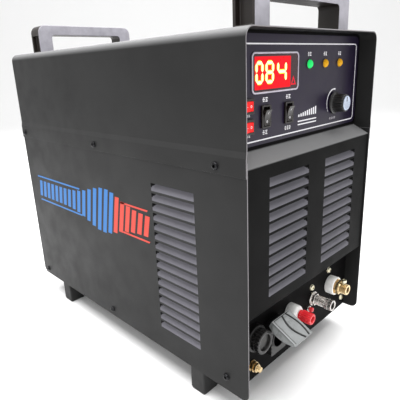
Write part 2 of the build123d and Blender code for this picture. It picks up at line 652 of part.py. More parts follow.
def make_torch_terminal():
    """Torch output: insulating flange and brass fitting with its gas bore and terminal post."""
    flange_radius, flange_height, neck_length, core_radius = 15.8, 15.0, 10.0, 8.0
    hex_radius, hex_top, nose_end, nose_radius = 12.5, 22.0, 35.0, 9.0
    mouth_radius, mouth_depth, gas_bore = 5.0, 12.0, 2.5
    tail_length, spigot_end, spigot_radius = 30.0, 52.0, 4.0
    post_out, post_start, post_radius, post_length = 27.0, 5.5, 2.5, 6.5
    button_radius, button_height = 4.2, 5.0
    with BuildPart() as torch_insulator:
        with BuildSketch(front_point(TORCH_X, TORCH_Z, PANEL_FACE)):
            Circle(flange_radius)
        extrude(amount=flange_height)
        with BuildSketch(front_point(TORCH_X, TORCH_Z, PANEL_FACE)):
            Circle(TORCH_NECK)
        extrude(amount=-neck_length)
        with BuildSketch(front_point(TORCH_X, TORCH_Z, PANEL_FACE + neck_length)):
            Circle(core_radius)
        extrude(amount=neck_length + flange_height, mode=Mode.SUBTRACT)
    torch_insulator.part.label = "torch_insulator"
    export_step(torch_insulator.part, "parts/torch_insulator.step")
    with BuildPart() as torch_fitting:
        with BuildSketch(front_point(TORCH_X, TORCH_Z, PANEL_FACE + tail_length)):
            Circle(core_radius)
        extrude(amount=tail_length + hex_top)
        with BuildSketch(front_point(TORCH_X, TORCH_Z, PANEL_FACE - flange_height)):
            RegularPolygon(hex_radius, 6)
        extrude(amount=hex_top - flange_height)
        with BuildSketch(front_point(TORCH_X, TORCH_Z, PANEL_FACE - hex_top)):
            Circle(nose_radius)
        extrude(amount=nose_end - hex_top)
        with BuildSketch(front_point(TORCH_X, TORCH_Z, PANEL_FACE + spigot_end)):
            Circle(spigot_radius)
        extrude(amount=spigot_end - tail_length)
        with BuildSketch(front_point(TORCH_X, TORCH_Z, PANEL_FACE + spigot_end)):
            Circle(gas_bore)
        extrude(amount=spigot_end + nose_end, mode=Mode.SUBTRACT)
        with BuildSketch(front_point(TORCH_X, TORCH_Z, PANEL_FACE - nose_end)):
            Circle(mouth_radius)
        extrude(amount=-mouth_depth, mode=Mode.SUBTRACT)
        post_foot = (TORCH_X, PANEL_FACE - post_out, TORCH_Z + post_start)
        with BuildSketch(Plane(origin=post_foot)):
            Circle(post_radius)
        extrude(amount=post_length)
        with BuildSketch(Plane(origin=post_foot).offset(post_length)):
            Circle(button_radius)
        extrude(amount=button_height)
    torch_fitting.part.label = "torch_fitting"
    export_step(torch_fitting.part, "parts/torch_fitting.step")


def make_trigger_socket():
    """Round panel connector for the torch trigger, with its three-pin insert."""
    flange_radius, flange_height, tail_length = 12.0, 4.0, 18.0
    ring_start, ring_radius, ring_length = 26.0, 9.0, 12.0
    mouth_radius, mouth_depth = 6.2, 30.0
    insert_front, insert_length, pin_circle, pin_radius, pin_length = 16.0, 8.0, 3.2, 0.9, 9.0
    with BuildPart() as trigger_socket:
        with BuildSketch(front_point(TRIGGER_X, TRIGGER_Z, PANEL_FACE)):
            Circle(flange_radius)
        extrude(amount=flange_height)
        with BuildSketch(front_point(TRIGGER_X, TRIGGER_Z, PANEL_FACE + tail_length)):
            Circle(TRIGGER_BARREL)
        extrude(amount=tail_length + ring_start)
        with BuildSketch(front_point(TRIGGER_X, TRIGGER_Z, PANEL_FACE - ring_start)):
            Circle(ring_radius)
        extrude(amount=ring_length)
        with BuildSketch(front_point(TRIGGER_X, TRIGGER_Z, PANEL_FACE - ring_start - ring_length)):
            Circle(mouth_radius)
        extrude(amount=-mouth_depth, mode=Mode.SUBTRACT)
    trigger_socket.part.label = "trigger_socket"
    export_step(trigger_socket.part, "parts/trigger_socket.step")
    with BuildPart() as trigger_insert:
        with BuildSketch(front_point(TRIGGER_X, TRIGGER_Z, PANEL_FACE - insert_front + insert_length)):
            Circle(mouth_radius)
        extrude(amount=insert_length)
        with BuildSketch(front_point(TRIGGER_X, TRIGGER_Z, PANEL_FACE - insert_front)):
            with PolarLocations(pin_circle, 3):
                Circle(pin_radius)
        extrude(amount=pin_length)
    trigger_insert.part.label = "trigger_insert"
    export_step(trigger_insert.part, "parts/trigger_insert.step")


def make_pilot_post():
    """Pilot arc binding post: insulating base, threaded stud and knurled screw cap."""
    base_radius, base_height, neck_length = 12.3, 19.0, 10.0
    stud_radius, stud_gap, stud_back, stud_tip = 3.0, 0.05, 20.0, 36.0
    nut_radius, nut_start, nut_length = 5.8, 10.0, 5.0
    cap_radius, cap_gap, cap_end = 9.0, 0.3, 41.0
    flutes, flute_radius, flute_circle = 16, 0.8, 9.3
    with BuildPart() as pilot_base:
        with BuildSketch(front_point(PILOT_X, PILOT_Z, PANEL_FACE)):
            Circle(base_radius)
        extrude(amount=base_height)
        with BuildSketch(front_point(PILOT_X, PILOT_Z, PANEL_FACE)):
            Circle(PILOT_NECK)
        extrude(amount=-neck_length)
        with BuildSketch(front_point(PILOT_X, PILOT_Z, PANEL_FACE + neck_length)):
            Circle(stud_radius)
        extrude(amount=neck_length + base_height, mode=Mode.SUBTRACT)
    pilot_base.part.label = "pilot_base"
    export_step(pilot_base.part, "parts/pilot_base.step")
    with BuildPart() as pilot_stud:
        with BuildSketch(front_point(PILOT_X, PILOT_Z, PANEL_FACE + stud_back)):
            Circle(stud_radius)
        extrude(amount=stud_back + stud_tip)
        with BuildSketch(front_point(PILOT_X, PILOT_Z, PANEL_FACE + nut_start + nut_length)):
            RegularPolygon(nut_radius, 6)
        extrude(amount=nut_length)
    pilot_stud.part.label = "pilot_stud"
    export_step(pilot_stud.part, "parts/pilot_stud.step")
    with BuildPart() as pilot_cap:
        with BuildSketch(front_point(PILOT_X, PILOT_Z, PANEL_FACE - base_height - cap_gap)):
            Circle(cap_radius)
            with PolarLocations(flute_circle, flutes):
                Circle(flute_radius, mode=Mode.SUBTRACT)
            Circle(stud_radius + stud_gap, mode=Mode.SUBTRACT)
        extrude(amount=cap_end - base_height - cap_gap)
    pilot_cap.part.label = "pilot_cap"
    export_step(pilot_cap.part, "parts/pilot_cap.step")


def make_earth_socket():
    """Twist-lock output socket for the work lead: insulating shell and brass contact."""
    flange_radius, flange_height, barrel_radius, shell_out = 20.0, 9.0, 17.5, 22.0
    contact_radius, contact_front, contact_back = 12.0, 18.0, 20.0
    bore_radius, bore_length = 6.6, 30.0
    lug_radius, lug_length, neck_length = 5.0, 14.0, 14.0
    with BuildPart() as earth_socket:
        with BuildSketch(front_point(EARTH_X, EARTH_Z, PANEL_FACE)):
            Circle(flange_radius)
        extrude(amount=flange_height)
        with BuildSketch(front_point(EARTH_X, EARTH_Z, PANEL_FACE - flange_height)):
            Circle(barrel_radius)
        extrude(amount=shell_out - flange_height)
        with BuildSketch(front_point(EARTH_X, EARTH_Z, PANEL_FACE)):
            Circle(EARTH_NECK)
        extrude(amount=-neck_length)
        with BuildSketch(front_point(EARTH_X, EARTH_Z, PANEL_FACE - shell_out)):
            Circle(contact_radius)
        extrude(amount=-shell_out - neck_length, mode=Mode.SUBTRACT)
    earth_socket.part.label = "earth_socket"
    export_step(earth_socket.part, "parts/earth_socket.step")
    with BuildPart() as earth_contact:
        with BuildSketch(front_point(EARTH_X, EARTH_Z, PANEL_FACE + contact_back)):
            Circle(contact_radius)
        extrude(amount=contact_back + contact_front)
        with BuildSketch(front_point(EARTH_X, EARTH_Z, PANEL_FACE - contact_front)):
            Circle(bore_radius)
        extrude(amount=-bore_length, mode=Mode.SUBTRACT)
        with BuildSketch(front_point(EARTH_X, EARTH_Z, PANEL_FACE + contact_back + lug_length)):
            Circle(lug_radius)
        extrude(amount=lug_length)
    earth_contact.part.label = "earth_contact"
    export_step(earth_contact.part, "parts/earth_contact.step")


def make_ground_and_fuse():
    """Protective earth stud with its two nuts, and the small fuse holder."""
    stud_out, stud_in = 16.0, 10.0
    nuts = [(0.0, 5.0, 8.0), (6.0, 4.5, 6.8)]
    collar_radius, collar_height, tail_length = 5.4, 4.0, 22.0
    cap_radius, cap_height = 3.8, 6.0
    with BuildPart() as ground_terminal:
        with BuildSketch(front_point(GROUND_X, GROUND_Z, PANEL_FACE + stud_in)):
            Circle(GROUND_STUD)
        extrude(amount=stud_in + stud_out)
        for start, thickness, corner_radius in nuts:
            with BuildSketch(front_point(GROUND_X, GROUND_Z, PANEL_FACE - start)):
                RegularPolygon(corner_radius, 6)
            extrude(amount=thickness)
    ground_terminal.part.label = "ground_terminal"
    export_step(ground_terminal.part, "parts/ground_terminal.step")
    with BuildPart() as fuse_holder:
        with BuildSketch(front_point(FUSE_X, FUSE_Z, PANEL_FACE)):
            Circle(collar_radius)
        extrude(amount=collar_height)
        with BuildSketch(front_point(FUSE_X, FUSE_Z, PANEL_FACE)):
            Circle(FUSE_BODY)
        extrude(amount=-tail_length)
        with BuildSketch(front_point(FUSE_X, FUSE_Z, PANEL_FACE - collar_height)):
            Circle(cap_radius)
        extrude(amount=cap_height)
    fuse_holder.part.label = "fuse_holder"
    export_step(fuse_holder.part, "parts/fuse_holder.step")


def make_aux_socket():
    """Auxiliary outlet with a hinged cover that hangs part open over it."""
    half_width, half_height, height, corner = 18.8, 25.0, 14.0, 3.0
    mouth_radius, mouth_depth, body_depth = 14.5, 27.0, 20.0
    pivot_out, pivot_up = height + 2.0, half_height + 3.0
    pin_radius, pin_gap, rest_slope = 1.5, 0.05, 27.0
    knuckle_radius, knuckle_half, knuckle_drop, web_height = 4.0, 12.0, 1.5, 5.0
    cheek_inner, cheek_outer = half_width + 0.4, half_width + 2.8
    pivot = (AUX_X, PANEL_FACE - pivot_out, AUX_Z + pivot_up)
    with BuildPart() as aux_socket:
        with BuildSketch(front_point(AUX_X, AUX_Z, PANEL_FACE)):
            RectangleRounded(2 * half_width, 2 * half_height, corner)
        extrude(amount=height)
        with BuildSketch(front_point(AUX_X, AUX_Z, PANEL_FACE)):
            Circle(AUX_BODY)
        extrude(amount=-body_depth)
        with BuildSketch(front_point(AUX_X, AUX_Z, PANEL_FACE - height)):
            Circle(mouth_radius)
        extrude(amount=-mouth_depth, mode=Mode.SUBTRACT)
        with BuildSketch(Plane(origin=pivot, x_dir=(0, 1, 0), z_dir=(1, 0, 0))):
            Circle(knuckle_radius)
            with Locations((pivot_out / 2, -knuckle_drop)):
                Rectangle(pivot_out, web_height)
            Circle(pin_radius, mode=Mode.SUBTRACT)
        extrude(amount=knuckle_half, both=True)
    aux_socket.part.label = "aux_socket"
    export_step(aux_socket.part, "parts/aux_socket.step")
    with BuildPart() as aux_pin:
        with BuildSketch(Plane(origin=pivot, x_dir=(0, 1, 0), z_dir=(1, 0, 0))):
            Circle(pin_radius)
        extrude(amount=cheek_outer, both=True)
    aux_pin.part.label = "aux_pin"
    export_step(aux_pin.part, "parts/aux_pin.step")
    slope = radians(rest_slope)
    lid_plane = Plane(origin=pivot, x_dir=(0, -cos(slope), -sin(slope)), z_dir=(-1, 0, 0))
    tail, tip, plate_low, plate_high, cheek_low, belly = -4.0, 41.0, 4.8, 7.2, -3.0, -9.0
    with BuildPart() as aux_cover:
        with BuildSketch(lid_plane):
            with Locations(((tail + tip) / 2, (plate_low + plate_high) / 2)):
                Rectangle(tip - tail, plate_high - plate_low)
        extrude(amount=cheek_outer, both=True)
        for start in (cheek_inner, -cheek_outer):
            with BuildSketch(lid_plane.offset(start)):
                with BuildLine():
                    Polyline((tip, plate_low), (tip, plate_high), (tail, plate_high), (tail, cheek_low))
                    ThreePointArc((tail, cheek_low), ((tail + tip) / 2, belly), (tip, plate_low))
                make_face()
                Circle(pin_radius + pin_gap, mode=Mode.SUBTRACT)
            extrude(amount=cheek_outer - cheek_inner)
    aux_cover.part.label = "aux_cover"
    export_step(aux_cover.part, "parts/aux_cover.step")


# ---------------------------------------------------------------- rear fittings

def make_breaker():
    """Mains breaker in the rear window with its ganged toggle, shown switched on."""
    depth = 60.0
    recess_width, recess_height, recess_depth = 43.0, 21.0, 17.0
    proud, pivot_depth = 6.0, 1.5
    axle_radius, axle_gap, axle_half, bore_half = 1.5, 0.05, 23.8, 24.0
    lever, lever_width, lever_half, lever_angle, hub_radius = 21.0, 6.0, 21.0, 25.0, 8.5
    pivot = (BREAKER_X, REAR_FACE - pivot_depth, BREAKER_Z)
    pivot_plane = Plane(origin=pivot, x_dir=(0, 1, 0), z_dir=(1, 0, 0))
    with BuildPart() as breaker:
        with BuildSketch(rear_point(BREAKER_X, BREAKER_Z, REAR_FACE + proud)):
            Rectangle(BREAKER_WIDTH, BREAKER_HEIGHT)
        extrude(amount=-depth)
        with BuildSketch(rear_point(BREAKER_X, BREAKER_Z, REAR_FACE + proud)):
            Rectangle(recess_width, recess_height)
        extrude(amount=-recess_depth, mode=Mode.SUBTRACT)
        with BuildSketch(pivot_plane):
            Circle(axle_radius + axle_gap)
        extrude(amount=bore_half, both=True, mode=Mode.SUBTRACT)
    breaker.part.label = "breaker"
    export_step(breaker.part, "parts/breaker.step")
    lever_x = lever / 2 * cos(radians(lever_angle))
    lever_z = lever / 2 * sin(radians(lever_angle))
    with BuildPart() as breaker_toggle:
        with BuildSketch(pivot_plane):
            Circle(hub_radius)
            with Locations(Location((lever_x, lever_z), lever_angle)):
                Rectangle(lever, lever_width)
        extrude(amount=lever_half, both=True)
        with BuildSketch(pivot_plane):
            Circle(axle_radius)
        extrude(amount=axle_half, both=True)
    breaker_toggle.part.label = "breaker_toggle"
    export_step(breaker_toggle.part, "parts/breaker_toggle.step")


def make_cable_gland():
    """Nylon gland for the mains cable, with its lock nut inside the rear panel."""
    nut_radius, nut_height, inner_nut_height = 21.5, 8.0, 6.0
    dome_radius, dome_length, dome_taper = 17.5, 14.0, 10
    neck_length, bore_radius = 14.0, 9.0
    mouth = nut_height + dome_length
    with BuildPart() as cable_gland:
        with BuildSketch(rear_point(GLAND_X, GLAND_Z, REAR_FACE)):
            RegularPolygon(nut_radius, 6)
        extrude(amount=nut_height)
        with BuildSketch(rear_point(GLAND_X, GLAND_Z, REAR_FACE + nut_height)):
            Circle(dome_radius)
        extrude(amount=dome_length, taper=dome_taper)
        with BuildSketch(rear_point(GLAND_X, GLAND_Z, REAR_FACE)):
            Circle(GLAND_NECK)
        extrude(amount=-neck_length)
        with BuildSketch(rear_point(GLAND_X, GLAND_Z, REAR_INNER)):
            RegularPolygon(nut_radius, 6)
        extrude(amount=-inner_nut_height)
        with BuildSketch(rear_point(GLAND_X, GLAND_Z, REAR_FACE + mouth)):
            Circle(bore_radius)
        extrude(amount=-mouth - neck_length - SHEET, mode=Mode.SUBTRACT)
    cable_gland.part.label = "cable_gland"
    export_step(cable_gland.part, "parts/cable_gland.step")


def make_gas_line():
    """Gas inlet barb, solenoid valve and the hose that carries the gas to the torch fitting."""
    inlet_length, valve_depth, valve_width = 45.0, 40.0, 40.0
    nut_radius, nut_length, barb_radius, barb_taper, barb_count, gas_bore = 11.0, 13.0, 5.2, 8, 4, 3.0
    coil_radius, coil_height, spigot_length, hose_lap, hose_bend = 15.0, 38.0, 12.0, 2.0, 40.0
    wall_gap, run_x, run_z, low_z = 20.0, 128.0, 150.0, 122.0
    barb_length = (inlet_length - nut_length) / barb_count
    valve_back = REAR_INNER - wall_gap
    valve_front = valve_back - valve_depth
    hose_radius, hose_bore = 6.0, 4.0
    with BuildPart() as gas_inlet:
        with BuildSketch(rear_point(INLET_X, INLET_Z, REAR_FACE)):
            RegularPolygon(nut_radius, 6)
        extrude(amount=nut_length)
        for i in range(barb_count):
            with BuildSketch(rear_point(INLET_X, INLET_Z, REAR_FACE + nut_length + barb_length * i)):
                Circle(barb_radius)
            extrude(amount=barb_length, taper=barb_taper)
        with BuildSketch(rear_point(INLET_X, INLET_Z, valve_back)):
            Circle(INLET_NECK)
        extrude(amount=REAR_FACE - valve_back)
        with BuildSketch(rear_point(INLET_X, INLET_Z, REAR_FACE + inlet_length)):
            Circle(gas_bore)
        extrude(amount=valve_back - REAR_FACE - inlet_length, mode=Mode.SUBTRACT)
    gas_inlet.part.label = "gas_inlet"
    export_step(gas_inlet.part, "parts/gas_inlet.step")
    with BuildPart() as solenoid_valve:
        with BuildSketch(rear_point(INLET_X, INLET_Z, valve_back)):
            Rectangle(valve_width, valve_width)
        extrude(amount=-valve_depth)
        with BuildSketch(Plane(origin=(INLET_X, (valve_back + valve_front) / 2, INLET_Z + valve_width / 2))):
            Circle(coil_radius)
        extrude(amount=coil_height)
        with BuildSketch(front_point(INLET_X, INLET_Z, valve_front)):
            Circle(hose_bore)
        extrude(amount=spigot_length)
    solenoid_valve.part.label = "solenoid_valve"
    export_step(solenoid_valve.part, "parts/solenoid_valve.step")
    hose_start = (INLET_X, valve_front - hose_lap, INLET_Z)
    hose_end = (TORCH_X, PANEL_FACE + 42.0, TORCH_Z)
    route = [
        hose_start,
        (INLET_X, valve_front - 50.0, INLET_Z),
        (run_x, valve_front - 110.0, run_z),
        (run_x, -50.0, low_z),
        (TORCH_X, -120.0, TORCH_Z),
        hose_end,
    ]
    with BuildPart() as gas_hose:
        with BuildLine() as hose_path:
            FilletPolyline(*route, radius=hose_bend)
        with BuildSketch(Plane(origin=hose_start, z_dir=(0, -1, 0))):
            Circle(hose_radius)
            Circle(hose_bore, mode=Mode.SUBTRACT)
        sweep(path=hose_path.wires()[0])
    gas_hose.part.label = "gas_hose"
    export_step(gas_hose.part, "parts/gas_hose.step")


# ---------------------------------------------------------------- inside the cabinet

def make_fan(fan_screws):
    """Cooling fan: frame with motor mount, bladed rotor and the wire guard outside."""
    back = REAR_INNER - FAN_THICKNESS
    frame_corner, arm_width, arm_depth, arm_lap = 8.0, 8.0, 4.0, 2.0
    motor_radius, motor_length, axle_radius, axle_gap = 28.0, 13.0, 3.0, 0.05
    hub_radius, hub_start, hub_length, axle_start = 27.0, 14.0, 31.0, 1.5
    blades, tip_radius, blade_root, blade_chord, blade_thickness = 7, 76.0, 26.0, 34.0, 2.4
    blade_pitch = radians(45)
    ring_radii, wire = (80.0, 68.0, 56.0, 44.0, 32.0), 2.4
    disc_radius, spoke_length, spoke_width, eye_radius = 22.0, 216.0, 5.0, 6.5
    with BuildPart() as fan_frame:
        with BuildSketch(rear_point(0, FAN_Z, REAR_INNER)):
            RectangleRounded(FAN_SIZE, FAN_SIZE, frame_corner)
            Circle(FAN_BORE, mode=Mode.SUBTRACT)
        extrude(amount=-FAN_THICKNESS)
        with BuildSketch(rear_plane(REAR_INNER)):
            with Locations(*fan_screws):
                Circle(SCREW_HOLE)
        extrude(amount=-FAN_THICKNESS, mode=Mode.SUBTRACT)
        with BuildSketch(rear_point(0, FAN_Z, back)):
            Rectangle(2 * (FAN_BORE + arm_lap), arm_width)
            Rectangle(arm_width, 2 * (FAN_BORE + arm_lap))
        extrude(amount=arm_depth)
        with BuildSketch(rear_point(0, FAN_Z, back)):
            Circle(motor_radius)
        extrude(amount=motor_length)
        with BuildSketch(rear_point(0, FAN_Z, back + 1.0)):
            Circle(axle_radius + axle_gap)
        extrude(amount=motor_length - 1.0, mode=Mode.SUBTRACT)
    fan_frame.part.label = "fan_frame"
    export_step(fan_frame.part, "parts/fan_frame.step")
    with BuildPart() as fan_rotor:
        with BuildSketch(rear_point(0, FAN_Z, back + hub_start)):
            Circle(hub_radius)
        extrude(amount=hub_length)
        with BuildSketch(rear_point(0, FAN_Z, back + axle_start)):
            Circle(axle_radius)
        extrude(amount=hub_start - axle_start + 0.5)
        for i in range(blades):
            angle = radians(360.0 / blades * i)
            radial = (cos(angle), 0, sin(angle))
            chord = (-sin(angle) * sin(blade_pitch), cos(blade_pitch), cos(angle) * sin(blade_pitch))
            middle_y = back + hub_start + hub_length / 2 - 0.5
            root = (blade_root * radial[0], middle_y, FAN_Z + blade_root * radial[2])
            with BuildSketch(Plane(origin=root, x_dir=chord, z_dir=radial)):
                Rectangle(blade_chord, blade_thickness)
            extrude(amount=tip_radius - blade_root)
    fan_rotor.part.label = "fan_rotor"
    export_step(fan_rotor.part, "parts/fan_rotor.step")
    with BuildPart() as fan_guard:
        with BuildSketch(rear_point(0, FAN_Z, REAR_FACE)):
            for radius in ring_radii:
                Circle(radius)
                Circle(radius - wire, mode=Mode.SUBTRACT)
        extrude(amount=GUARD_THICKNESS)
        with BuildSketch(rear_point(0, FAN_Z, REAR_FACE)):
            Circle(disc_radius)
            for turn in (45.0, 135.0):
                Rectangle(spoke_length, spoke_width, rotation=turn)
            screw_pitch = FAN_SIZE - 2 * FAN_SCREW_INSET
            with GridLocations(screw_pitch, screw_pitch, 2, 2):
                Circle(eye_radius)
                Circle(SCREW_HOLE, mode=Mode.SUBTRACT)
        extrude(amount=GUARD_THICKNESS)
    fan_guard.part.label = "fan_guard"
    export_step(fan_guard.part, "parts/fan_guard.step")


def make_power_stage():
    """Heat sink between the pan's brackets, with power modules, main board and capacitors on top."""
    sink_base, fin_drop, fin_pitch, fin_count, fin_thickness = 10.0, 60.0, 14.0, 13, 2.5
    block_shift, large_pitch, large_width, large_depth = 60.0, 90.0, 62.0, 106.0
    small_pitch, small_width, small_depth = 80.0, 35.0, 94.0
    board_width, capacitor_shift, capacitor_radius, capacitor_height = 190.0, 40.0, 17.5, 50.0
    capacitor_pitch_x, capacitor_pitch_y = 55.0, 60.0
    module_height, board_thickness = 30.0, 1.8
    sink_top, sink_half, sink_front, sink_length = SINK_TOP, SINK_HALF_WIDTH, SINK_FRONT, SINK_LENGTH
    middle_y = sink_front + sink_length / 2
    board_bottom = sink_top + module_height
    with BuildPart() as heatsink:
        with BuildSketch(front_plane(sink_front)):
            with Locations((0, sink_top - sink_base / 2)):
                Rectangle(2 * sink_half, sink_base)
            with Locations((0, sink_top - sink_base - fin_drop / 2)):
                with GridLocations(fin_pitch, 0, fin_count, 1):
                    Rectangle(fin_thickness, fin_drop)
        extrude(amount=-sink_length)
    heatsink.part.label = "heatsink"
    export_step(heatsink.part, "parts/heatsink.step")
    with BuildPart() as power_modules:
        with BuildSketch(Plane(origin=(0, middle_y + block_shift, sink_top))):
            with GridLocations(large_pitch, 0, 2, 1):
                Rectangle(large_width, large_depth)
        extrude(amount=module_height)
        with BuildSketch(Plane(origin=(0, middle_y - block_shift, sink_top))):
            with GridLocations(small_pitch, 0, 2, 1):
                Rectangle(small_width, small_depth)
        extrude(amount=module_height)
    power_modules.part.label = "power_modules"
    export_step(power_modules.part, "parts/power_modules.step")
    with BuildPart() as main_board:
        with BuildSketch(Plane(origin=(0, middle_y, board_bottom))):
            Rectangle(board_width, sink_length)
        extrude(amount=board_thickness)
    main_board.part.label = "main_board"
    export_step(main_board.part, "parts/main_board.step")
    with BuildPart() as bus_capacitors:
        with BuildSketch(Plane(origin=(0, middle_y - capacitor_shift, board_bottom + board_thickness))):
            with GridLocations(capacitor_pitch_x, capacitor_pitch_y, 3, 2):
                Circle(capacitor_radius)
        extrude(amount=capacitor_height)
    bus_capacitors.part.label = "bus_capacitors"
    export_step(bus_capacitors.part, "parts/bus_capacitors.step")


def make_magnetics():
    """Main transformer and the output choke on the pan floor."""
    core_width, core_height, core_depth = 120.0, 100.0, 60.0
    leg_half, window_width, window_height = 18.0, 24.0, 64.0
    core_y, core_z = -145.0, PAN_FLOOR + core_height / 2
    winding_bulge, winding_corner, end_gap, side_gap = 18.0, 8.0, 1.0, 0.5
    choke_x, choke_y, choke_radius, choke_bore, choke_height = 105.0, -150.0, 38.0, 17.0, 34.0
    with BuildPart() as transformer_core:
        with BuildSketch(front_plane(core_y - core_depth / 2)):
            with Locations((0, core_z)):
                Rectangle(core_width, core_height)
                with GridLocations(2 * leg_half + window_width, 0, 2, 1):
                    Rectangle(window_width, window_height, mode=Mode.SUBTRACT)
        extrude(amount=-core_depth)
    transformer_core.part.label = "transformer_core"
    export_step(transformer_core.part, "parts/transformer_core.step")
    with BuildPart() as transformer_winding:
        with BuildSketch(Plane(origin=(0, core_y, core_z - window_height / 2 + end_gap))):
            width = 2 * (leg_half + window_width - side_gap)
            RectangleRounded(width, core_depth + 2 * winding_bulge, winding_corner)
            Rectangle(2 * leg_half, core_depth, mode=Mode.SUBTRACT)
        extrude(amount=window_height - 2 * end_gap)
    transformer_winding.part.label = "transformer_winding"
    export_step(transformer_winding.part, "parts/transformer_winding.step")
    with BuildPart() as output_choke:
        with BuildSketch(Plane(origin=(choke_x, choke_y, PAN_FLOOR))):
            Circle(choke_radius)
            Circle(choke_bore, mode=Mode.SUBTRACT)
        extrude(amount=choke_height)
    output_choke.part.label = "output_choke"
    export_step(output_choke.part, "parts/output_choke.step")


def make_control_board():
    """Control board on four standoffs behind the control panel."""
    gap, thickness, width, height, middle_z = 36.0, 1.6, 300.0, 105.0, 447.0
    standoff_x, standoff_z, standoff_radius = 145.0, 46.0, 3.0
    corners = [(x, middle_z + z) for x in (-standoff_x, standoff_x) for z in (-standoff_z, standoff_z)]
    with BuildPart() as control_board:
        with BuildSketch(front_plane(PANEL_BACK + gap)):
            with Locations((0, middle_z)):
                Rectangle(width, height)
        extrude(amount=-thickness)
    control_board.part.label = "control_board"
    export_step(control_board.part, "parts/control_board.step")
    with BuildPart() as board_standoffs:
        with BuildSketch(front_plane(PANEL_BACK + gap)):
            with Locations(*corners):
                Circle(standoff_radius)
        extrude(amount=gap)
    board_standoffs.part.label = "board_standoffs"
    export_step(board_standoffs.part, "parts/board_standoffs.step")


make_base_pan()
make_side_panel(-1, "left_side_panel")
make_side_panel(1, "right_side_panel")
make_hood_cover()
make_front_panel()
make_terminal_panel()
make_control_panel()
fan_screw_places = make_rear_panel()
make_handle(HANDLE_FRONT_Y, "front_handle")
make_handle(HANDLE_REAR_Y, "rear_handle")
make_feet()
make_fasteners(fan_screw_places)
make_display()
make_lamps()
make_rockers()
make_current_knob()
make_torch_terminal()
make_trigger_socket()
make_pilot_post()
make_earth_socket()
make_ground_and_fuse()
make_aux_socket()
make_breaker()
make_cable_gland()
make_gas_line()
make_fan(fan_screw_places)
make_power_stage()
make_magnetics()
make_control_board()
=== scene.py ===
import math

import bmesh
import bpy
from mathutils import Matrix, Vector


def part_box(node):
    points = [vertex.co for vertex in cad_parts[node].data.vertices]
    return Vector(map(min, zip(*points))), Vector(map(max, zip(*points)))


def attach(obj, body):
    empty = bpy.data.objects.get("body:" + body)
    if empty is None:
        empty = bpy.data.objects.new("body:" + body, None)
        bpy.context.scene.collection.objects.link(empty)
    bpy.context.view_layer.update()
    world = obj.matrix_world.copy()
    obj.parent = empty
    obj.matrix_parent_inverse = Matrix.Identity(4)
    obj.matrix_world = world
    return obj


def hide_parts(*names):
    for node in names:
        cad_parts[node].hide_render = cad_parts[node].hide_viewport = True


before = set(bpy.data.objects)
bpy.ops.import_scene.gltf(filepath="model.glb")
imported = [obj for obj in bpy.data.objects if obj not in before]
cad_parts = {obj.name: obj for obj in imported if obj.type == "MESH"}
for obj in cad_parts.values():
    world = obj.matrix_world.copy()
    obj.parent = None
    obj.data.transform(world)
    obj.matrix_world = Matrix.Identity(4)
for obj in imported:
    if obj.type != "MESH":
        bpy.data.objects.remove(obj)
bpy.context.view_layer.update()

ROOT = "cabinet"
MM = 0.001


def node_centre(node):
    low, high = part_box(node)
    return (low + high) / 2


# ---------------------------------------------------------------- places read from the frame
SIDE_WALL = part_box("right_side_panel")[1].x          # outer face of the side panels
SHEET = 1.5 * MM
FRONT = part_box("hood_cover")[0].y
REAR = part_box("hood_cover")[1].y
HOOD_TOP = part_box("hood_cover")[1].z
HOOD_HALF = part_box("hood_cover")[1].x
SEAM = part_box("hood_cover")[0].z
SKIRT_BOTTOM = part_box("right_side_panel")[0].z
PANEL_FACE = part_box("control_panel")[0].y
OVERLAY_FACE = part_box("control_overlay")[0].y
REAR_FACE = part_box("rear_panel")[1].y
OUTWARD, BACKWARD = Vector((0, -1, 0)), Vector((0, 1, 0))
ACROSS, UP = Vector((1, 0, 0)), Vector((0, 0, 1))       # their normal faces the front


# ---------------------------------------------------------------- materials
def new_material(name, colour, roughness, metallic=0.0, **sockets):
    """A Principled material; further sockets are set by name, with _ for a space."""
    material = bpy.data.materials.new(name)
    material.use_nodes = True
    shader = material.node_tree.nodes["Principled BSDF"]
    shader.inputs["Base Color"].default_value = (*colour, 1)
    shader.inputs["Roughness"].default_value = roughness
    shader.inputs["Metallic"].default_value = metallic
    for key, value in sockets.items():
        shader.inputs[key.replace("_", " ")].default_value = value
    return material


def place_node(material, stretch=(1, 1, 1)):
    """Object coordinates in metres, stretched along the axes for brushed finishes."""
    tree = material.node_tree
    coordinates = tree.nodes.new("ShaderNodeTexCoord")
    mapping = tree.nodes.new("ShaderNodeMapping")
    mapping.inputs["Scale"].default_value = stretch
    tree.links.new(coordinates.outputs["Object"], mapping.inputs["Vector"])
    return mapping.outputs["Vector"]


def noise_node(material, vector, scale, detail=3.0, roughness=0.55):
    tree = material.node_tree
    noise = tree.nodes.new("ShaderNodeTexNoise")
    noise.inputs["Scale"].default_value = scale
    noise.inputs["Detail"].default_value = detail
    noise.inputs["Roughness"].default_value = roughness
    tree.links.new(vector, noise.inputs["Vector"])
    return noise.outputs["Fac"]


def vary_colour(material, factor, low, high, start=0.3, end=0.7):
    tree = material.node_tree
    ramp = tree.nodes.new("ShaderNodeValToRGB")
    ramp.color_ramp.elements[0].position = start
    ramp.color_ramp.elements[0].color = (*low, 1)
    ramp.color_ramp.elements[1].position = end
    ramp.color_ramp.elements[1].color = (*high, 1)
    tree.links.new(factor, ramp.inputs["Fac"])
    tree.links.new(ramp.outputs["Color"], tree.nodes["Principled BSDF"].inputs["Base Color"])


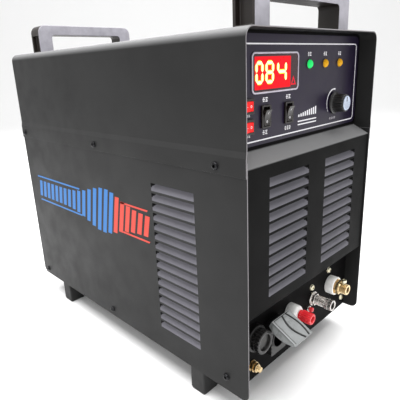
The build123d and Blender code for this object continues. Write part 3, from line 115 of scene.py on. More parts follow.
def vary_roughness(material, factor, low, high, start=0.3, end=0.7):
    tree = material.node_tree
    spread = tree.nodes.new("ShaderNodeMapRange")
    spread.inputs["From Min"].default_value = start
    spread.inputs["From Max"].default_value = end
    spread.inputs["To Min"].default_value = low
    spread.inputs["To Max"].default_value = high
    tree.links.new(factor, spread.inputs["Value"])
    tree.links.new(spread.outputs["Result"], tree.nodes["Principled BSDF"].inputs["Roughness"])


def add_bump(material, factor, height, strength=1.0):
    """Adds a height field in metres on top of any bump already there."""
    tree = material.node_tree
    bump = tree.nodes.new("ShaderNodeBump")
    bump.inputs["Distance"].default_value = height
    bump.inputs["Strength"].default_value = strength
    tree.links.new(factor, bump.inputs["Height"])
    normal = tree.nodes["Principled BSDF"].inputs["Normal"]
    if normal.links:
        tree.links.new(normal.links[0].from_socket, bump.inputs["Normal"])
    tree.links.new(bump.outputs["Normal"], normal)


def paint_top_light(material, top_light):
    """Painted light from above: lightens the faces that look upwards and leaves upright ones alone."""
    tree = material.node_tree
    facing = tree.nodes.new("ShaderNodeTexCoord")
    split = tree.nodes.new("ShaderNodeSeparateXYZ")
    spread = tree.nodes.new("ShaderNodeMapRange")
    spread.inputs["From Min"].default_value = 0.12
    spread.inputs["From Max"].default_value = 0.75
    blend = tree.nodes.new("ShaderNodeMix")
    blend.data_type = "RGBA"
    base = tree.nodes["Principled BSDF"].inputs["Base Color"]
    tree.links.new(facing.outputs["Normal"], split.inputs["Vector"])
    tree.links.new(split.outputs["Z"], spread.inputs["Value"])
    tree.links.new(spread.outputs["Result"], blend.inputs["Factor"])
    tree.links.new(base.links[0].from_socket, blend.inputs["A"])
    blend.inputs["B"].default_value = (*top_light, 1)
    tree.links.new(blend.outputs["Result"], base)


def scaled(colour, factor):
    return tuple(channel * factor for channel in colour)


def powder_coat(name, colour, roughness=0.5, grain=1100.0, sheen=0.12):
    """Fine-textured powder coat: orange-peel grain, faint dusty clouds and rub marks."""
    material = new_material(name, colour, roughness, Specular_IOR_Level=sheen)
    place = place_node(material)
    clouds = noise_node(material, place, 9.0, 5.0, 0.6)
    vary_colour(material, clouds, scaled(colour, 0.86), scaled(colour, 1.16))
    vary_roughness(material, noise_node(material, place, 26.0, 6.0), roughness - 0.07, roughness + 0.08)
    add_bump(material, noise_node(material, place, grain, 2.0), 0.16 * MM, 0.55)
    add_bump(material, noise_node(material, place, 7.0, 1.0), 1.6 * MM, 0.10)
    return material


def moulded(name, colour, roughness=0.42, grain=2600.0, depth=0.05 * MM, **sockets):
    """Moulded plastic or rubber with a spark-eroded grain and slight blotches."""
    material = new_material(name, colour, roughness, **sockets)
    place = place_node(material)
    blotches = noise_node(material, place, 70.0, 4.0)
    vary_colour(material, blotches, scaled(colour, 0.85), scaled(colour, 1.15))
    vary_roughness(material, blotches, roughness - 0.06, roughness + 0.08)
    add_bump(material, noise_node(material, place, grain, 2.0), depth, 0.5)
    return material


def machined(name, colour, roughness=0.28, stretch=(1, 40, 1), tarnish=0.75):
    """Turned or brushed metal: fine lines along one axis, with tarnish in patches."""
    material = new_material(name, colour, roughness, 1.0)
    lines = noise_node(material, place_node(material, stretch), 60.0, 6.0, 0.7)
    patches = noise_node(material, place_node(material), 130.0, 4.0)
    vary_colour(material, patches, scaled(colour, tarnish), colour)
    vary_roughness(material, lines, roughness - 0.10, roughness + 0.14)
    add_bump(material, lines, 0.03 * MM, 0.5)
    return material


def glowing(name, colour, emission, strength, roughness=0.3):
    """A lit surface with an uneven glow from the chips behind it."""
    material = new_material(name, colour, roughness, Emission_Strength=strength, Specular_IOR_Level=0.08)
    tree = material.node_tree
    factor = noise_node(material, place_node(material), 160.0, 2.0)
    ramp = tree.nodes.new("ShaderNodeValToRGB")
    ramp.color_ramp.elements[0].color = (*scaled(emission, 0.82), 1)
    ramp.color_ramp.elements[1].color = (*emission, 1)
    tree.links.new(factor, ramp.inputs["Fac"])
    tree.links.new(ramp.outputs["Color"], tree.nodes["Principled BSDF"].inputs["Emission Color"])
    vary_roughness(material, factor, roughness - 0.05, roughness + 0.05)
    return material


def printed(name, colour):
    """Screen-printed ink: nearly flat colour with a slightly uneven film."""
    material = new_material(name, colour, 0.55)
    factor = noise_node(material, place_node(material), 900.0, 3.0)
    vary_colour(material, factor, scaled(colour, 0.88), colour)
    vary_roughness(material, factor, 0.48, 0.62)
    return material


PAINT = powder_coat("paint_dark_grey", (0.017, 0.017, 0.017), 0.42)
# the cabinet paint again, darker: painted shade on the front panel
PAINT_FRONT_SHADED = powder_coat("paint_front_shaded", (0.006, 0.006, 0.006), 0.46, sheen=0.02)
# painted light from above on the up-facing faces of both cabinet paints
for coat in (PAINT, PAINT_FRONT_SHADED):
    paint_top_light(coat, (0.16, 0.16, 0.162))
# a near-black copy of the cabinet paint: painted shade on the recessed terminal panel, the control panel,
# the base pan and the visor's groove lines
PAINT_SHADED = powder_coat("paint_shaded_dark", (0.005, 0.0048, 0.005), 0.55, sheen=0.02)
# light grey on the sheets' cut edges: worn paint and a painted highlight along them
PAINT_EDGE_WEAR_LIT = powder_coat("paint_edge_wear_and_highlight", (0.22, 0.21, 0.22), 0.40)
# a lighter copy of the paint for the louvre faces: painted light on faces that tilt up to the light
LOUVRE_LIT_PAINT = powder_coat("paint_louvre_face_lit", (0.115, 0.112, 0.128), 0.42)
# near-black paint: painted shade along the top of each louvre face, its far notch and its cut edges
LOUVRE_SHADE = powder_coat("paint_louvre_shade", (0.003, 0.003, 0.003), 0.7)
FILM = moulded("panel_film", (0.010, 0.006, 0.020), 0.34, 1800.0, 0.02 * MM, Specular_IOR_Level=0.3)
HANDLE_DARK = moulded("handle_brown_black", (0.011, 0.007, 0.005), 0.45, 1500.0, 0.10 * MM)
HANDLE_FACE = moulded("handle_light_face", (0.34, 0.33, 0.37), 0.40, 700.0, 0.12 * MM)
RUBBER = moulded("foot_rubber", (0.006, 0.006, 0.006), 0.62, 1200.0, 0.10 * MM)
BLACK_OXIDE = machined("screw_black_oxide", (0.035, 0.035, 0.037), 0.22, (1, 1, 1), 0.5)
BLACK_PLASTIC = moulded("plastic_black", (0.007, 0.0065, 0.0065), 0.33)
GLOSS_BLACK = moulded("plastic_gloss_black", (0.010, 0.007, 0.006), 0.24, 3000.0, 0.02 * MM)
RED_PLASTIC = moulded("plastic_red", (0.62, 0.022, 0.030), 0.26, 3000.0, 0.02 * MM)
RED_LIT = glowing("switch_red_lit", (0.55, 0.01, 0.01), (1.0, 0.03, 0.03), 0.45, 0.25)
WHITE_PLASTIC = moulded("plastic_white", (0.83, 0.83, 0.81), 0.35, 2400.0, 0.02 * MM)
LIGHT_TRIM = moulded("trim_light_grey", (0.46, 0.43, 0.50), 0.38)
COVER_GREY = moulded("cover_grey", (0.24, 0.25, 0.25), 0.30, 2200.0, 0.03 * MM)
BRASS = machined("brass_machined", (0.78, 0.60, 0.34), 0.27)
PALE_BRASS = machined("brass_plated", (0.80, 0.76, 0.58), 0.25, (1, 1, 1))
NICKEL = machined("nickel_plate", (0.74, 0.71, 0.68), 0.20)
ZINC = machined("zinc_plate", (0.62, 0.62, 0.60), 0.33, (1, 1, 1))
WIRE_CHROME = machined("guard_wire_chrome", (0.70, 0.70, 0.71), 0.18, (1, 1, 1), 0.85)
SPUN_CAP = machined("knob_cap_spun", (0.62, 0.70, 0.86), 0.24, (1, 1, 30), 0.9)
ALUMINIUM = machined("aluminium_extruded", (0.66, 0.66, 0.67), 0.36, (1, 0.05, 1))
FERRITE = moulded("ferrite_core", (0.030, 0.030, 0.032), 0.55, 1600.0, 0.10 * MM)
COPPER = machined("winding_copper", (0.62, 0.27, 0.12), 0.33, (40, 1, 40), 0.6)
BOARD = moulded("board_solder_mask", (0.010, 0.085, 0.030), 0.30, 1500.0, 0.03 * MM)
MODULE = moulded("power_module_resin", (0.045, 0.045, 0.05), 0.5)
HOSE = moulded("hose_braid_blue", (0.02, 0.06, 0.26), 0.5, 900.0, 0.2 * MM)
WINDOW = moulded("window_smoked_red", (0.030, 0.004, 0.008), 0.14, 1500.0, 0.01 * MM)
INK_WHITE = printed("ink_white", (0.80, 0.79, 0.82))
INK_GREY = printed("ink_grey", (0.45, 0.43, 0.46))
INK_BLUE = printed("ink_blue", (0.010, 0.145, 0.44))
INK_ORANGE = printed("ink_orange_red", (0.58, 0.035, 0.016))
GLOW_RED = glowing("display_glow_red", (0.12, 0.0, 0.0), (1.0, 0.008, 0.020), 0.95)
GLOW_RED_DIM = glowing("display_mark_red", (0.3, 0.0, 0.0), (0.75, 0.02, 0.05), 0.8)
GLOW_HALO = glowing("digit_halo", (0.4, 0.2, 0.0), (1.0, 0.62, 0.02), 1.3)
GLOW_CORE = glowing("digit_core", (0.5, 0.5, 0.2), (1.0, 0.93, 0.42), 1.7)
LAMP_GREEN = glowing("lamp_green_lit", (0.02, 0.35, 0.08), (0.01, 0.78, 0.16), 0.75, 0.15)
LAMP_AMBER = glowing("lamp_amber", (0.55, 0.27, 0.01), (0.80, 0.42, 0.02), 0.22, 0.15)


# ---------------------------------------------------------------- mesh helpers
HEX = ("hex",)


def finish_piece(name, mesh, body, material, slot, nodes=(), bevel=0.0, smooth_angle=32, segments=2):
    """Turns a mesh into a shown piece that rides on its body."""
    piece = bpy.data.objects.new(name, mesh)
    bpy.context.scene.collection.objects.link(piece)
    if not mesh.materials:
        mesh.materials.append(material)
    if bevel:
        modifier = piece.modifiers.new("edge_bevel", "BEVEL")
        modifier.width = bevel
        modifier.segments = segments
        modifier.limit_method = "ANGLE"
        modifier.angle_limit = math.radians(40)
        modifier.use_clamp_overlap = True
        modifier.harden_normals = True
    mesh.shade_smooth()
    mesh.set_sharp_from_angle(angle=math.radians(smooth_angle))
    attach(piece, body)
    if nodes:
        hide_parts(*nodes)
    return piece


def mesh_from(name, points, faces):
    mesh = bpy.data.meshes.new(name)
    mesh.from_pydata([tuple(p) for p in points], [], faces)
    work = bmesh.new()
    work.from_mesh(mesh)
    bmesh.ops.recalc_face_normals(work, faces=work.faces)
    work.to_mesh(mesh)
    work.free()
    mesh.update()
    return mesh


def join_meshes(name, parts):
    """One mesh from several (points, faces) lists."""
    points, faces = [], []
    for part_points, part_faces in parts:
        start = len(points)
        points.extend(part_points)
        faces.extend([tuple(i + start for i in face) for face in part_faces])
    return mesh_from(name, points, faces)


def joined_piece(name, parts, material, slot, nodes=(), body=ROOT, **finish):
    return finish_piece(name, join_meshes(name, parts), body, material, slot, nodes, **finish)


def prism(outline, origin, across, up, depth, start=0.0):
    """A closed prism: a 2-D outline in the plane (across, up), pushed along their normal."""
    across, up, origin = Vector(across), Vector(up), Vector(origin)
    normal = across.cross(up)
    low = [origin + across * a + up * b + normal * start for a, b in outline]
    high = [p + normal * depth for p in low]
    n = len(outline)
    faces = [tuple(range(n))[::-1], tuple(range(n, 2 * n))]
    faces += [(i, (i + 1) % n, n + (i + 1) % n, n + i) for i in range(n)]
    return low + high, faces


def ring_prism(outer, inner, origin, across, up, depth, start=0.0):
    """A closed frame between two outlines that have the same number of points."""
    across, up, origin = Vector(across), Vector(up), Vector(origin)
    normal = across.cross(up)
    layers = []
    for outline, level in ((outer, start), (inner, start), (inner, start + depth), (outer, start + depth)):
        layers.append([origin + across * a + up * b + normal * level for a, b in outline])
    n = len(outer)
    points = [p for layer in layers for p in layer]
    faces = []
    for k in range(4):
        following = (k + 1) % 4
        faces += [(k * n + i, k * n + (i + 1) % n, following * n + (i + 1) % n, following * n + i)
                  for i in range(n)]
    return points, faces


def rounded_outline(half_width, half_height, radius, centre=(0, 0), steps=6):
    points = []
    corners = ((1, 1, 0), (-1, 1, 90), (-1, -1, 180), (1, -1, 270))
    for sx, sy, start in corners:
        cx = centre[0] + sx * (half_width - radius)
        cy = centre[1] + sy * (half_height - radius)
        for i in range(steps + 1):
            angle = math.radians(start + 90 * i / steps)
            points.append((cx + radius * math.cos(angle), cy + radius * math.sin(angle)))
    return points


def arc_band(inner, outer_start, outer_end, start, end, centre=(0, 0), steps=40):
    """A flat arc whose outer radius changes from one end to the other, in degrees."""
    outer_side, inner_side = [], []
    for i in range(steps + 1):
        t = i / steps
        angle = math.radians(start + (end - start) * t)
        radius = outer_start + (outer_end - outer_start) * t
        outer_side.append((centre[0] + radius * math.cos(angle), centre[1] + radius * math.sin(angle)))
        inner_side.append((centre[0] + inner * math.cos(angle), centre[1] + inner * math.sin(angle)))
    return outer_side + inner_side[::-1]


def turned(centre, profile, sides=48, outward=OUTWARD, up=UP):
    """A turned solid. profile rows are (distance out, radius) in millimetres, round unless a
    shape follows: ("hex",) for flats of that corner radius, or ("flute", count, depth)."""
    across = outward.cross(up).normalized()
    high = across.cross(outward).normalized()
    points, faces = [], []
    for out, radius, *shape in profile:
        kind, *numbers = shape[0] if shape else ("round",)
        for i in range(sides):
            angle = 2 * math.pi * i / sides
            r = radius * MM
            if kind == "hex":
                within = (math.degrees(angle) % 60) - 30
                r *= math.cos(math.radians(30)) / math.cos(math.radians(within))
            if kind == "flute":
                count, depth = numbers
                r -= depth * MM * (0.5 + 0.5 * math.cos(count * angle)) ** 2
            around = across * (r * math.cos(angle)) + high * (r * math.sin(angle))
            points.append(centre + outward * out * MM + around)
    rows = len(profile)
    for k in range(rows - 1):
        this, following = k * sides, (k + 1) * sides
        faces += [(this + i, this + (i + 1) % sides, following + (i + 1) % sides, following + i)
                  for i in range(sides)]
    faces.append(tuple(range(sides))[::-1])
    faces.append(tuple((rows - 1) * sides + i for i in range(sides)))
    return points, faces


def turned_piece(name, centre, profile, sides, material, slot, nodes=(), body=ROOT,
                 outward=OUTWARD, up=UP, smooth_angle=32):
    mesh = mesh_from(name, *turned(centre, profile, sides, outward, up))
    return finish_piece(name, mesh, body, material, slot, nodes, smooth_angle=smooth_angle)


def on_panel(x, z):
    return Vector((x, PANEL_FACE, z))


def panel_base(node):
    """Where a fitting of the terminal panel stands on it."""
    centre = node_centre(node)
    return on_panel(centre.x, centre.z)


# ---------------------------------------------------------------- folded and louvred sheets
LOUVRE_HEIGHT = 11.5 * MM
LOUVRE_DEPTH = 7.0 * MM
LOUVRE_PITCH = 15.2 * MM
LOUVRE_END = 9.0 * MM


def subdivide(stops, step):
    """The stops, with further values between them no more than step apart."""
    values = [stops[0]]
    for low, high in zip(stops, stops[1:]):
        count = max(1, math.ceil((high - low) / step - 1e-6))
        values += [low + (high - low) * i / count for i in range(1, count + 1)]
    return values


def louvre_depth(u, v, louvre):
    u0, u1, v0, v1 = louvre
    end = min(u - u0, u1 - u) / LOUVRE_END
    across = math.sqrt(max(0.0, 1 - (1 - min(end, 1.0)) ** 2))
    rise = (v - v0) / (v1 - v0)
    return LOUVRE_DEPTH * across * (0.35 * math.sin(rise * math.pi / 2) + 0.65 * rise)


def louvre_material(u, v, louvre):
    """Lit face, or painted shade along the cut top edge that widens to a notch at the far end."""
    _, u1, v0, v1 = louvre
    rise, to_end = (v - v0) / (v1 - v0), (u1 - u) / (7 * MM)
    return 2 if rise > 0.80 or (to_end < 1 and rise > 0.5 + 0.4 * to_end) else 1


def sheet_mesh(name, u_stops, v_stops, louvres, place, corner=0.0):
    """A sheet over a (u, v) grid. Each louvre is pressed in and cut along its top edge.
    place(u, v, depth) gives the point; corner rounds the two lower corners."""
    us = set(u_stops)
    vs = set(v_stops)
    for u0, u1, v0, v1 in louvres:
        steps = 8
        ends = [LOUVRE_END * (1 - math.cos(math.pi / 2 * i / steps)) for i in range(steps + 1)]
        us.update([u0 + e for e in ends] + [u1 - e for e in ends])
        vs.update([v0 + (v1 - v0) * t for t in (0, 0.25, 0.45, 0.6, 0.7, 0.8, 0.9, 1)])
    u_low, u_high, v_low = min(us), max(us), min(vs)
    if corner:
        us.update([u_low + corner, u_high - corner])
        vs.add(v_low + corner)
    us, vs = (sorted({round(value, 6) for value in values}) for values in (us, vs))
    work = bmesh.new()
    made = {}

    def vertex(i, j, louvre):
        u, v = us[i], vs[j]
        depth = louvre_depth(u, v, louvre) if louvre else 0.0
        key = (i, j, depth > 1e-6)
        if key not in made:
            made[key] = work.verts.new(place(u, v, depth))
        return made[key]

    def louvre_at(u, v):
        for box in louvres:
            if box[0] < u < box[1] and box[2] < v < box[3]:
                return box
        return None

    for i in range(len(us) - 1):
        for j in range(len(vs) - 1):
            u, v = (us[i] + us[i + 1]) / 2, (vs[j] + vs[j + 1]) / 2
            if corner and v < v_low + corner and (u < u_low + corner or u > u_high - corner):
                continue
            here = louvre_at(u, v)
            face = work.faces.new([vertex(i, j, here), vertex(i + 1, j, here),
                                   vertex(i + 1, j + 1, here), vertex(i, j + 1, here)])
            face.material_index = louvre_material(u, v, here) if here else 0
    if corner:
        for side, u_centre in ((-1, u_low + corner), (1, u_high - corner)):
            i = us.index(round(u_centre, 6))
            j = vs.index(round(v_low + corner, 6))
            hub = vertex(i, j, None)
            edge_u = vertex(0 if side < 0 else len(us) - 1, j, None)
            edge_v = vertex(i, 0, None)
            arc = [edge_u]
            for k in range(1, 8):
                angle = math.pi / 2 * k / 8
                arc.append(work.verts.new(place(u_centre + side * corner * math.cos(angle),
                                                v_low + corner - corner * math.sin(angle), 0.0)))
            arc.append(edge_v)
            for a, b in zip(arc, arc[1:]):
                work.faces.new([hub, a, b])
    bmesh.ops.recalc_face_normals(work, faces=work.faces)
    mesh = bpy.data.meshes.new(name)
    work.to_mesh(mesh)
    work.free()
    # slots: paint, louvre face with painted light, painted shade, edge wear with a painted highlight, and
    # painted shade on the louvres' cut edges
    for material in (PAINT, LOUVRE_LIT_PAINT, LOUVRE_SHADE, PAINT_EDGE_WEAR_LIT, LOUVRE_SHADE, LOUVRE_SHADE):
        mesh.materials.append(material)
    return mesh


def finish_sheet(name, mesh, inward, node):
    """Gives a sheet its thickness behind the outer face and eases its cut edges."""
    face = mesh.polygons[0]
    flipped = face.normal.dot(Vector(inward)) > 0
    piece = finish_piece(name, mesh, ROOT, PAINT, "cabinet_paint", [node])
    sides = {}
    for polygon in mesh.polygons:
        for key in polygon.edge_keys:
            sides.setdefault(key, []).append(polygon.material_index == 0)
    for edge in mesh.edges:
        if len(set(sides[tuple(sorted(edge.vertices))])) > 1:
            edge.use_edge_sharp = True
    solid = piece.modifiers.new("thickness", "SOLIDIFY")
    solid.thickness = SHEET
    solid.offset = 1.0 if flipped else -1.0
    solid.use_even_offset = False
    # rim slots: cut edges in edge wear with a painted highlight, louvre edges in painted shade
    solid.material_offset_rim = 3
    edge = piece.modifiers.new("edge_bevel", "BEVEL")
    edge.width = 0.35 * MM
    edge.segments = 2
    edge.limit_method = "ANGLE"
    edge.angle_limit = math.radians(60)
    edge.harden_normals = True
    return piece


SIDE_LOUVRE_Y, SIDE_LOUVRE_HALF = -166.7 * MM, 44.25 * MM
SIDE_LOUVRE_TOPS = [322.0 * MM - LOUVRE_PITCH * i for i in range(16)]
FRONT_LOUVRE_X, FRONT_LOUVRE_HALF = 67.0 * MM, 45.0 * MM
FRONT_LOUVRE_TOPS = [346.5 * MM - LOUVRE_PITCH * i for i in range(11)]


def make_side_panels():
    louvre_start, louvre_end = SIDE_LOUVRE_Y - SIDE_LOUVRE_HALF, SIDE_LOUVRE_Y + SIDE_LOUVRE_HALF
    louvres = [(louvre_start, louvre_end, top - LOUVRE_HEIGHT, top) for top in SIDE_LOUVRE_TOPS]
    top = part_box("right_side_panel")[1].z
    u_stops = subdivide([FRONT, louvre_start, louvre_end, REAR], 60 * MM)
    for side, node in ((-1, "left_side_panel"), (1, "right_side_panel")):
        def place(u, v, depth, side=side):
            return Vector((side * (SIDE_WALL - depth), u, v))

        mesh = sheet_mesh(node + "_pressed", u_stops, [SKIRT_BOTTOM, top], louvres, place, 12 * MM)
        finish_sheet(node + "_pressed", mesh, (-side, 0, 0), node)


def arc_path(points, radius, steps=8):
    """A folded sheet's outline: straight runs with a bend of this radius at each inner point."""
    path = [Vector(points[0])]
    radii = radius if isinstance(radius, (list, tuple)) else [radius] * (len(points) - 2)
    for before, corner, after, bend in zip(points, points[1:], points[2:], radii):
        before, corner, after = Vector(before), Vector(corner), Vector(after)
        to_before, to_after = (before - corner).normalized(), (after - corner).normalized()
        half = to_before.angle(to_after) / 2
        reach = bend / math.tan(half)
        start, end = corner + to_before * reach, corner + to_after * reach
        centre = corner + (to_before + to_after).normalized() * (bend / math.sin(half))
        from_centre, to_centre = start - centre, end - centre
        turn = from_centre.angle(to_centre)
        for i in range(steps + 1):
            t = i / steps
            blend = from_centre * math.sin((1 - t) * turn) + to_centre * math.sin(t * turn)
            path.append(centre + blend / math.sin(turn))
    path.append(Vector(points[-1]))
    return path


def path_places(path):
    """Distances along the path, and a function from distance to (point, inward normal)."""
    distances = [0.0]
    for a, b in zip(path, path[1:]):
        distances.append(distances[-1] + (b - a).length)

    def at(distance):
        k = 0
        while k < len(path) - 2 and distance > distances[k + 1] + 1e-9:
            k += 1
        step = path[k + 1] - path[k]
        t = (distance - distances[k]) / step.length
        return path[k] + step * t, step.normalized()

    return distances, at


def make_front_panel():
    low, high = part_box("front_panel")
    louvre_face = low.y
    back = PANEL_FACE + SHEET
    band_top, band_bottom, bottom = 377.5 * MM, 364.5 * MM, 165.0 * MM
    outline = [(back, low.z), (back, bottom - 4 * MM), (louvre_face, bottom),
               (louvre_face, band_bottom), (back, band_top), (back, high.z)]
    path = arc_path(outline, 2.4 * MM, 6)
    distances, at = path_places(path)
    flat_start = next(d for p, d in zip(path, distances) if abs(p.x - louvre_face) < 1e-5)
    flat_z = next(p.y for p in path if abs(p.x - louvre_face) < 1e-5)
    louvres = []
    for x in (-FRONT_LOUVRE_X, FRONT_LOUVRE_X):
        for top in FRONT_LOUVRE_TOPS:
            v1 = flat_start + top - flat_z
            louvres.append((x - FRONT_LOUVRE_HALF, x + FRONT_LOUVRE_HALF, v1 - LOUVRE_HEIGHT, v1))

    def place(u, v, depth):
        point, along = at(v)
        inward = Vector((along.y, -along.x))
        point = point + inward * depth
        return Vector((u, point.x, point.y))

    mesh = sheet_mesh("front_panel_pressed", [low.x, 0, high.x], distances, louvres, place)
    piece = finish_sheet("front_panel_pressed", mesh, (0, 1, 0), "front_panel")
    # the front panel takes the darker copy of the paint: painted shade
    piece.data.materials[0] = PAINT_FRONT_SHADED


def make_hood():
    strip_top, joggle_top, joggle = 378 * MM, 386 * MM, 1.3 * MM
    wall = joggle - HOOD_HALF
    left = [(-HOOD_HALF, SEAM), (-HOOD_HALF, strip_top), (wall, joggle_top), (wall, HOOD_TOP)]
    outline = left + [(-x, z) for x, z in reversed(left)]
    bend = [4 * MM, 4 * MM, 13 * MM, 13 * MM, 4 * MM, 4 * MM]
    distances, at = path_places(arc_path(outline, bend, 10))

    def place(u, v, depth):
        point, _ = at(v)
        return Vector((point.x, u, point.y))

    mesh = sheet_mesh("hood_folded", subdivide([FRONT, REAR], 50 * MM), distances, [], place)
    finish_sheet("hood_folded", mesh, (1, 0, 0), "hood_cover")


make_side_panels()
make_front_panel()
make_hood()


# ---------------------------------------------------------------- handles and feet
def make_handle(node):
    """A moulded bow: light grey on the faces that look front and back, dark on the rest, and a pocket in
    each post.
    """
    low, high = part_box(node)
    centre = node_centre(node)
    half, height = (high.x - low.x) / 2, high.z - low.z
    post, bar, corner, inner = 28.5 * MM, 18.5 * MM, 15 * MM, 6 * MM
    steps = 8
    outer_points = [(-half, 0)]
    for start, cx in ((180, corner - half), (90, half - corner)):
        outer_points += [(cx + corner * math.cos(math.radians(start - 90 * i / steps)),
                          height - corner + corner * math.sin(math.radians(start - 90 * i / steps)))
                         for i in range(steps + 1)]
    outer_points.append((half, 0))
    gap, gap_top = half - post, height - bar
    inner_points = [(gap, 0)]
    for start, cx in ((0, gap - inner), (90, inner - gap)):
        inner_points += [(cx + inner * math.cos(math.radians(start + 90 * i / steps)),
                          gap_top - inner + inner * math.sin(math.radians(start + 90 * i / steps)))
                         for i in range(steps + 1)]
    inner_points.append((-gap, 0))
    outline = outer_points + inner_points
    depth = high.y - low.y
    origin = Vector((centre.x, high.y, low.z))
    mesh = mesh_from(node + "_bow", *prism(outline, origin, (1, 0, 0), (0, 0, 1), depth))
    mesh.materials.append(HANDLE_DARK)
    mesh.materials.append(HANDLE_FACE)
    for face in mesh.polygons:
        if abs(face.normal.y) > 0.9:
            face.material_index = 1
    work = bmesh.new()
    work.from_mesh(mesh)
    ends = [f for f in work.faces
            if abs(f.normal.x) > 0.9995 and abs(abs(f.calc_center_median().x) - half) < MM]
    for face in ends:
        bmesh.ops.inset_region(work, faces=[face], thickness=6.5 * MM, depth=0)
        bmesh.ops.inset_region(work, faces=[face], thickness=1.2 * MM, depth=-8 * MM)
    work.to_mesh(mesh)
    work.free()
    finish_piece(node + "_bow", mesh, ROOT, HANDLE_DARK, "handle_plastic", [node],
                 bevel=1.2 * MM, segments=3)


def make_feet():
    """Four moulded rubber blocks, each with a foot pad and a moulding line."""
    low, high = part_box("feet")
    half_x, half_y = 16 * MM, 14.25 * MM
    pad_top, block_top = low.z + 3 * MM, high.z - 0.2 * MM
    parts = []
    for x in (low.x + half_x, high.x - half_x):
        for y in (low.y + half_y, high.y - half_y):
            for z0, z1, shrink in ((low.z, pad_top, 0.8 * MM), (pad_top, block_top, 0.0)):
                outline = rounded_outline(half_x - shrink, half_y - shrink, 2.5 * MM)
                parts.append(prism(outline, (x, y, z0), ACROSS, (0, 1, 0), z1 - z0))
    joined_piece("feet_moulded", parts, RUBBER, "rubber", ["feet"], bevel=0.5 * MM)


make_handle("front_handle")
make_handle("rear_handle")
make_feet()


# ---------------------------------------------------------------- screws
def screw_head(centre, outward, radius=5.6, height=3.4):
    """A domed head with a hexagon socket and a washer flange; sizes in millimetres."""
    outward = Vector(outward)
    up = UP if abs(outward.z) < 0.5 else ACROSS
    profile = [(0, radius * 0.99), (0.5, radius), (0.75, radius * 0.93)]
    for i in range(5):
        angle = math.pi / 2 * i / 5
        profile.append((0.8 + (height - 0.8) * math.sin(angle), radius * (0.52 + 0.38 * math.cos(angle))))
    profile += [(height, radius * 0.50), (height, radius * 0.44, HEX), (height * 0.35, radius * 0.40, HEX)]
    return turned(Vector(centre), profile, 24, outward, up)


def make_side_screws():
    """Black cap screws along both side walls and the plated screws of the terminal panel."""
    dark = []
    for side in (-1, 1):
        for y in (-253 * MM, 20 * MM, 288 * MM):
            dark.append(screw_head((side * HOOD_HALF, y, 365 * MM), (side, 0, 0)))
        for y, z in ((-261 * MM, 64 * MM), (20 * MM, 55.5 * MM), (280 * MM, 54 * MM)):
            dark.append(screw_head((side * SIDE_WALL, y, z), (side, 0, 0)))
    joined_piece("side_screws", dark, BLACK_OXIDE, "screw_black", ["panel_screws"])
    places = ((94, 135), (40, 124), (-146, 138), (146, 60))
    plated = [screw_head(on_panel(x * MM, z * MM), OUTWARD) for x, z in places]
    joined_piece("terminal_screws", plated, PALE_BRASS, "screw_brass")


make_side_screws()


# ---------------------------------------------------------------- control panel
INK_LIFT = 0.12 * MM
INK_SINK = -0.02 * MM                # the film starts this far inside the face it lies on


def ink(name, outlines, material, slot="panel_black", y=OVERLAY_FACE, body=ROOT):
    """Screen print on the overlay: each outline is a thin raised film."""
    parts = [prism(outline, (0, y, 0), ACROSS, UP, INK_LIFT, INK_SINK) for outline in outlines]
    return joined_piece(name, parts, material, slot, body=body)


def bar(x, z, width, height):
    return [(x - width / 2, z - height / 2), (x + width / 2, z - height / 2),
            (x + width / 2, z + height / 2), (x - width / 2, z + height / 2)]


def tick_block(x, z, width, height, columns):
    """A generic label: small printed bars of uneven length in columns."""
    bars = []
    pitch = width / columns
    rows = 3
    for column in range(columns):
        for row in range(rows):
            share = 0.78 if (row + column) % 2 else 0.5
            bars.append(bar(x - width / 2 + pitch * (column + 0.5), z + height * (row - 1) / rows,
                            pitch * share, height / rows * 0.62))
    return bars


def make_prints():
    border_half_x, border_half_z, line = 146.5 * MM, 57.5 * MM, 1.6 * MM
    centre = (0, 445.5 * MM)
    outer = rounded_outline(border_half_x, border_half_z, 6 * MM, centre, 8)
    inner = rounded_outline(border_half_x - line, border_half_z - line, 4.6 * MM, centre, 8)
    line = ring_prism(outer, inner, (0, OVERLAY_FACE, 0), ACROSS, UP, INK_LIFT, INK_SINK)
    joined_piece("border_line", [line], INK_WHITE, "panel_black")
    knob = node_centre("current_knob")
    arc = arc_band(18.9 * MM, 21.3 * MM, 19.5 * MM, 78, 218, (knob.x, knob.z))
    ink("knob_scale_arc", [arc], INK_WHITE)
    lamps = []
    for i in range(3):
        lamps += tick_block((9.5 + 41.5 * i) * MM, 489.5 * MM, 9.5 * MM, 5.6 * MM, 2)
    ink("lamp_labels", lamps, INK_WHITE)
    labels = []
    for x in (-90, -40):
        labels += tick_block(x * MM, 437.5 * MM, 11.5 * MM, 6.0 * MM, 2)
    labels += tick_block(-90 * MM, 397.5 * MM, 11 * MM, 6.0 * MM, 2)
    labels += tick_block(-40 * MM, 397.0 * MM, 15 * MM, 5.6 * MM, 3)
    labels += tick_block(-127 * MM, 421.0 * MM, 15 * MM, 3.2 * MM, 4)
    labels += tick_block(-127 * MM, 396.5 * MM, 15 * MM, 3.2 * MM, 4)
    ink("switch_labels", labels, INK_WHITE)
    ink("knob_label", tick_block(79.8 * MM, 396.5 * MM, 19 * MM, 3.6 * MM, 4), INK_GREY)
    gauge = []
    for i in range(9):
        height = (3.2 + 0.95 * i) * MM
        gauge.append(bar((-13 + 5.4 * i) * MM, 408 * MM + height / 2, 3.0 * MM, height))
    ink("output_scale_bars", gauge, INK_WHITE)
    rules = [bar(8.6 * MM, z * MM, 48 * MM, 1.6 * MM) for z in (402, 397.5)]
    ink("output_scale_rule", rules, INK_WHITE)


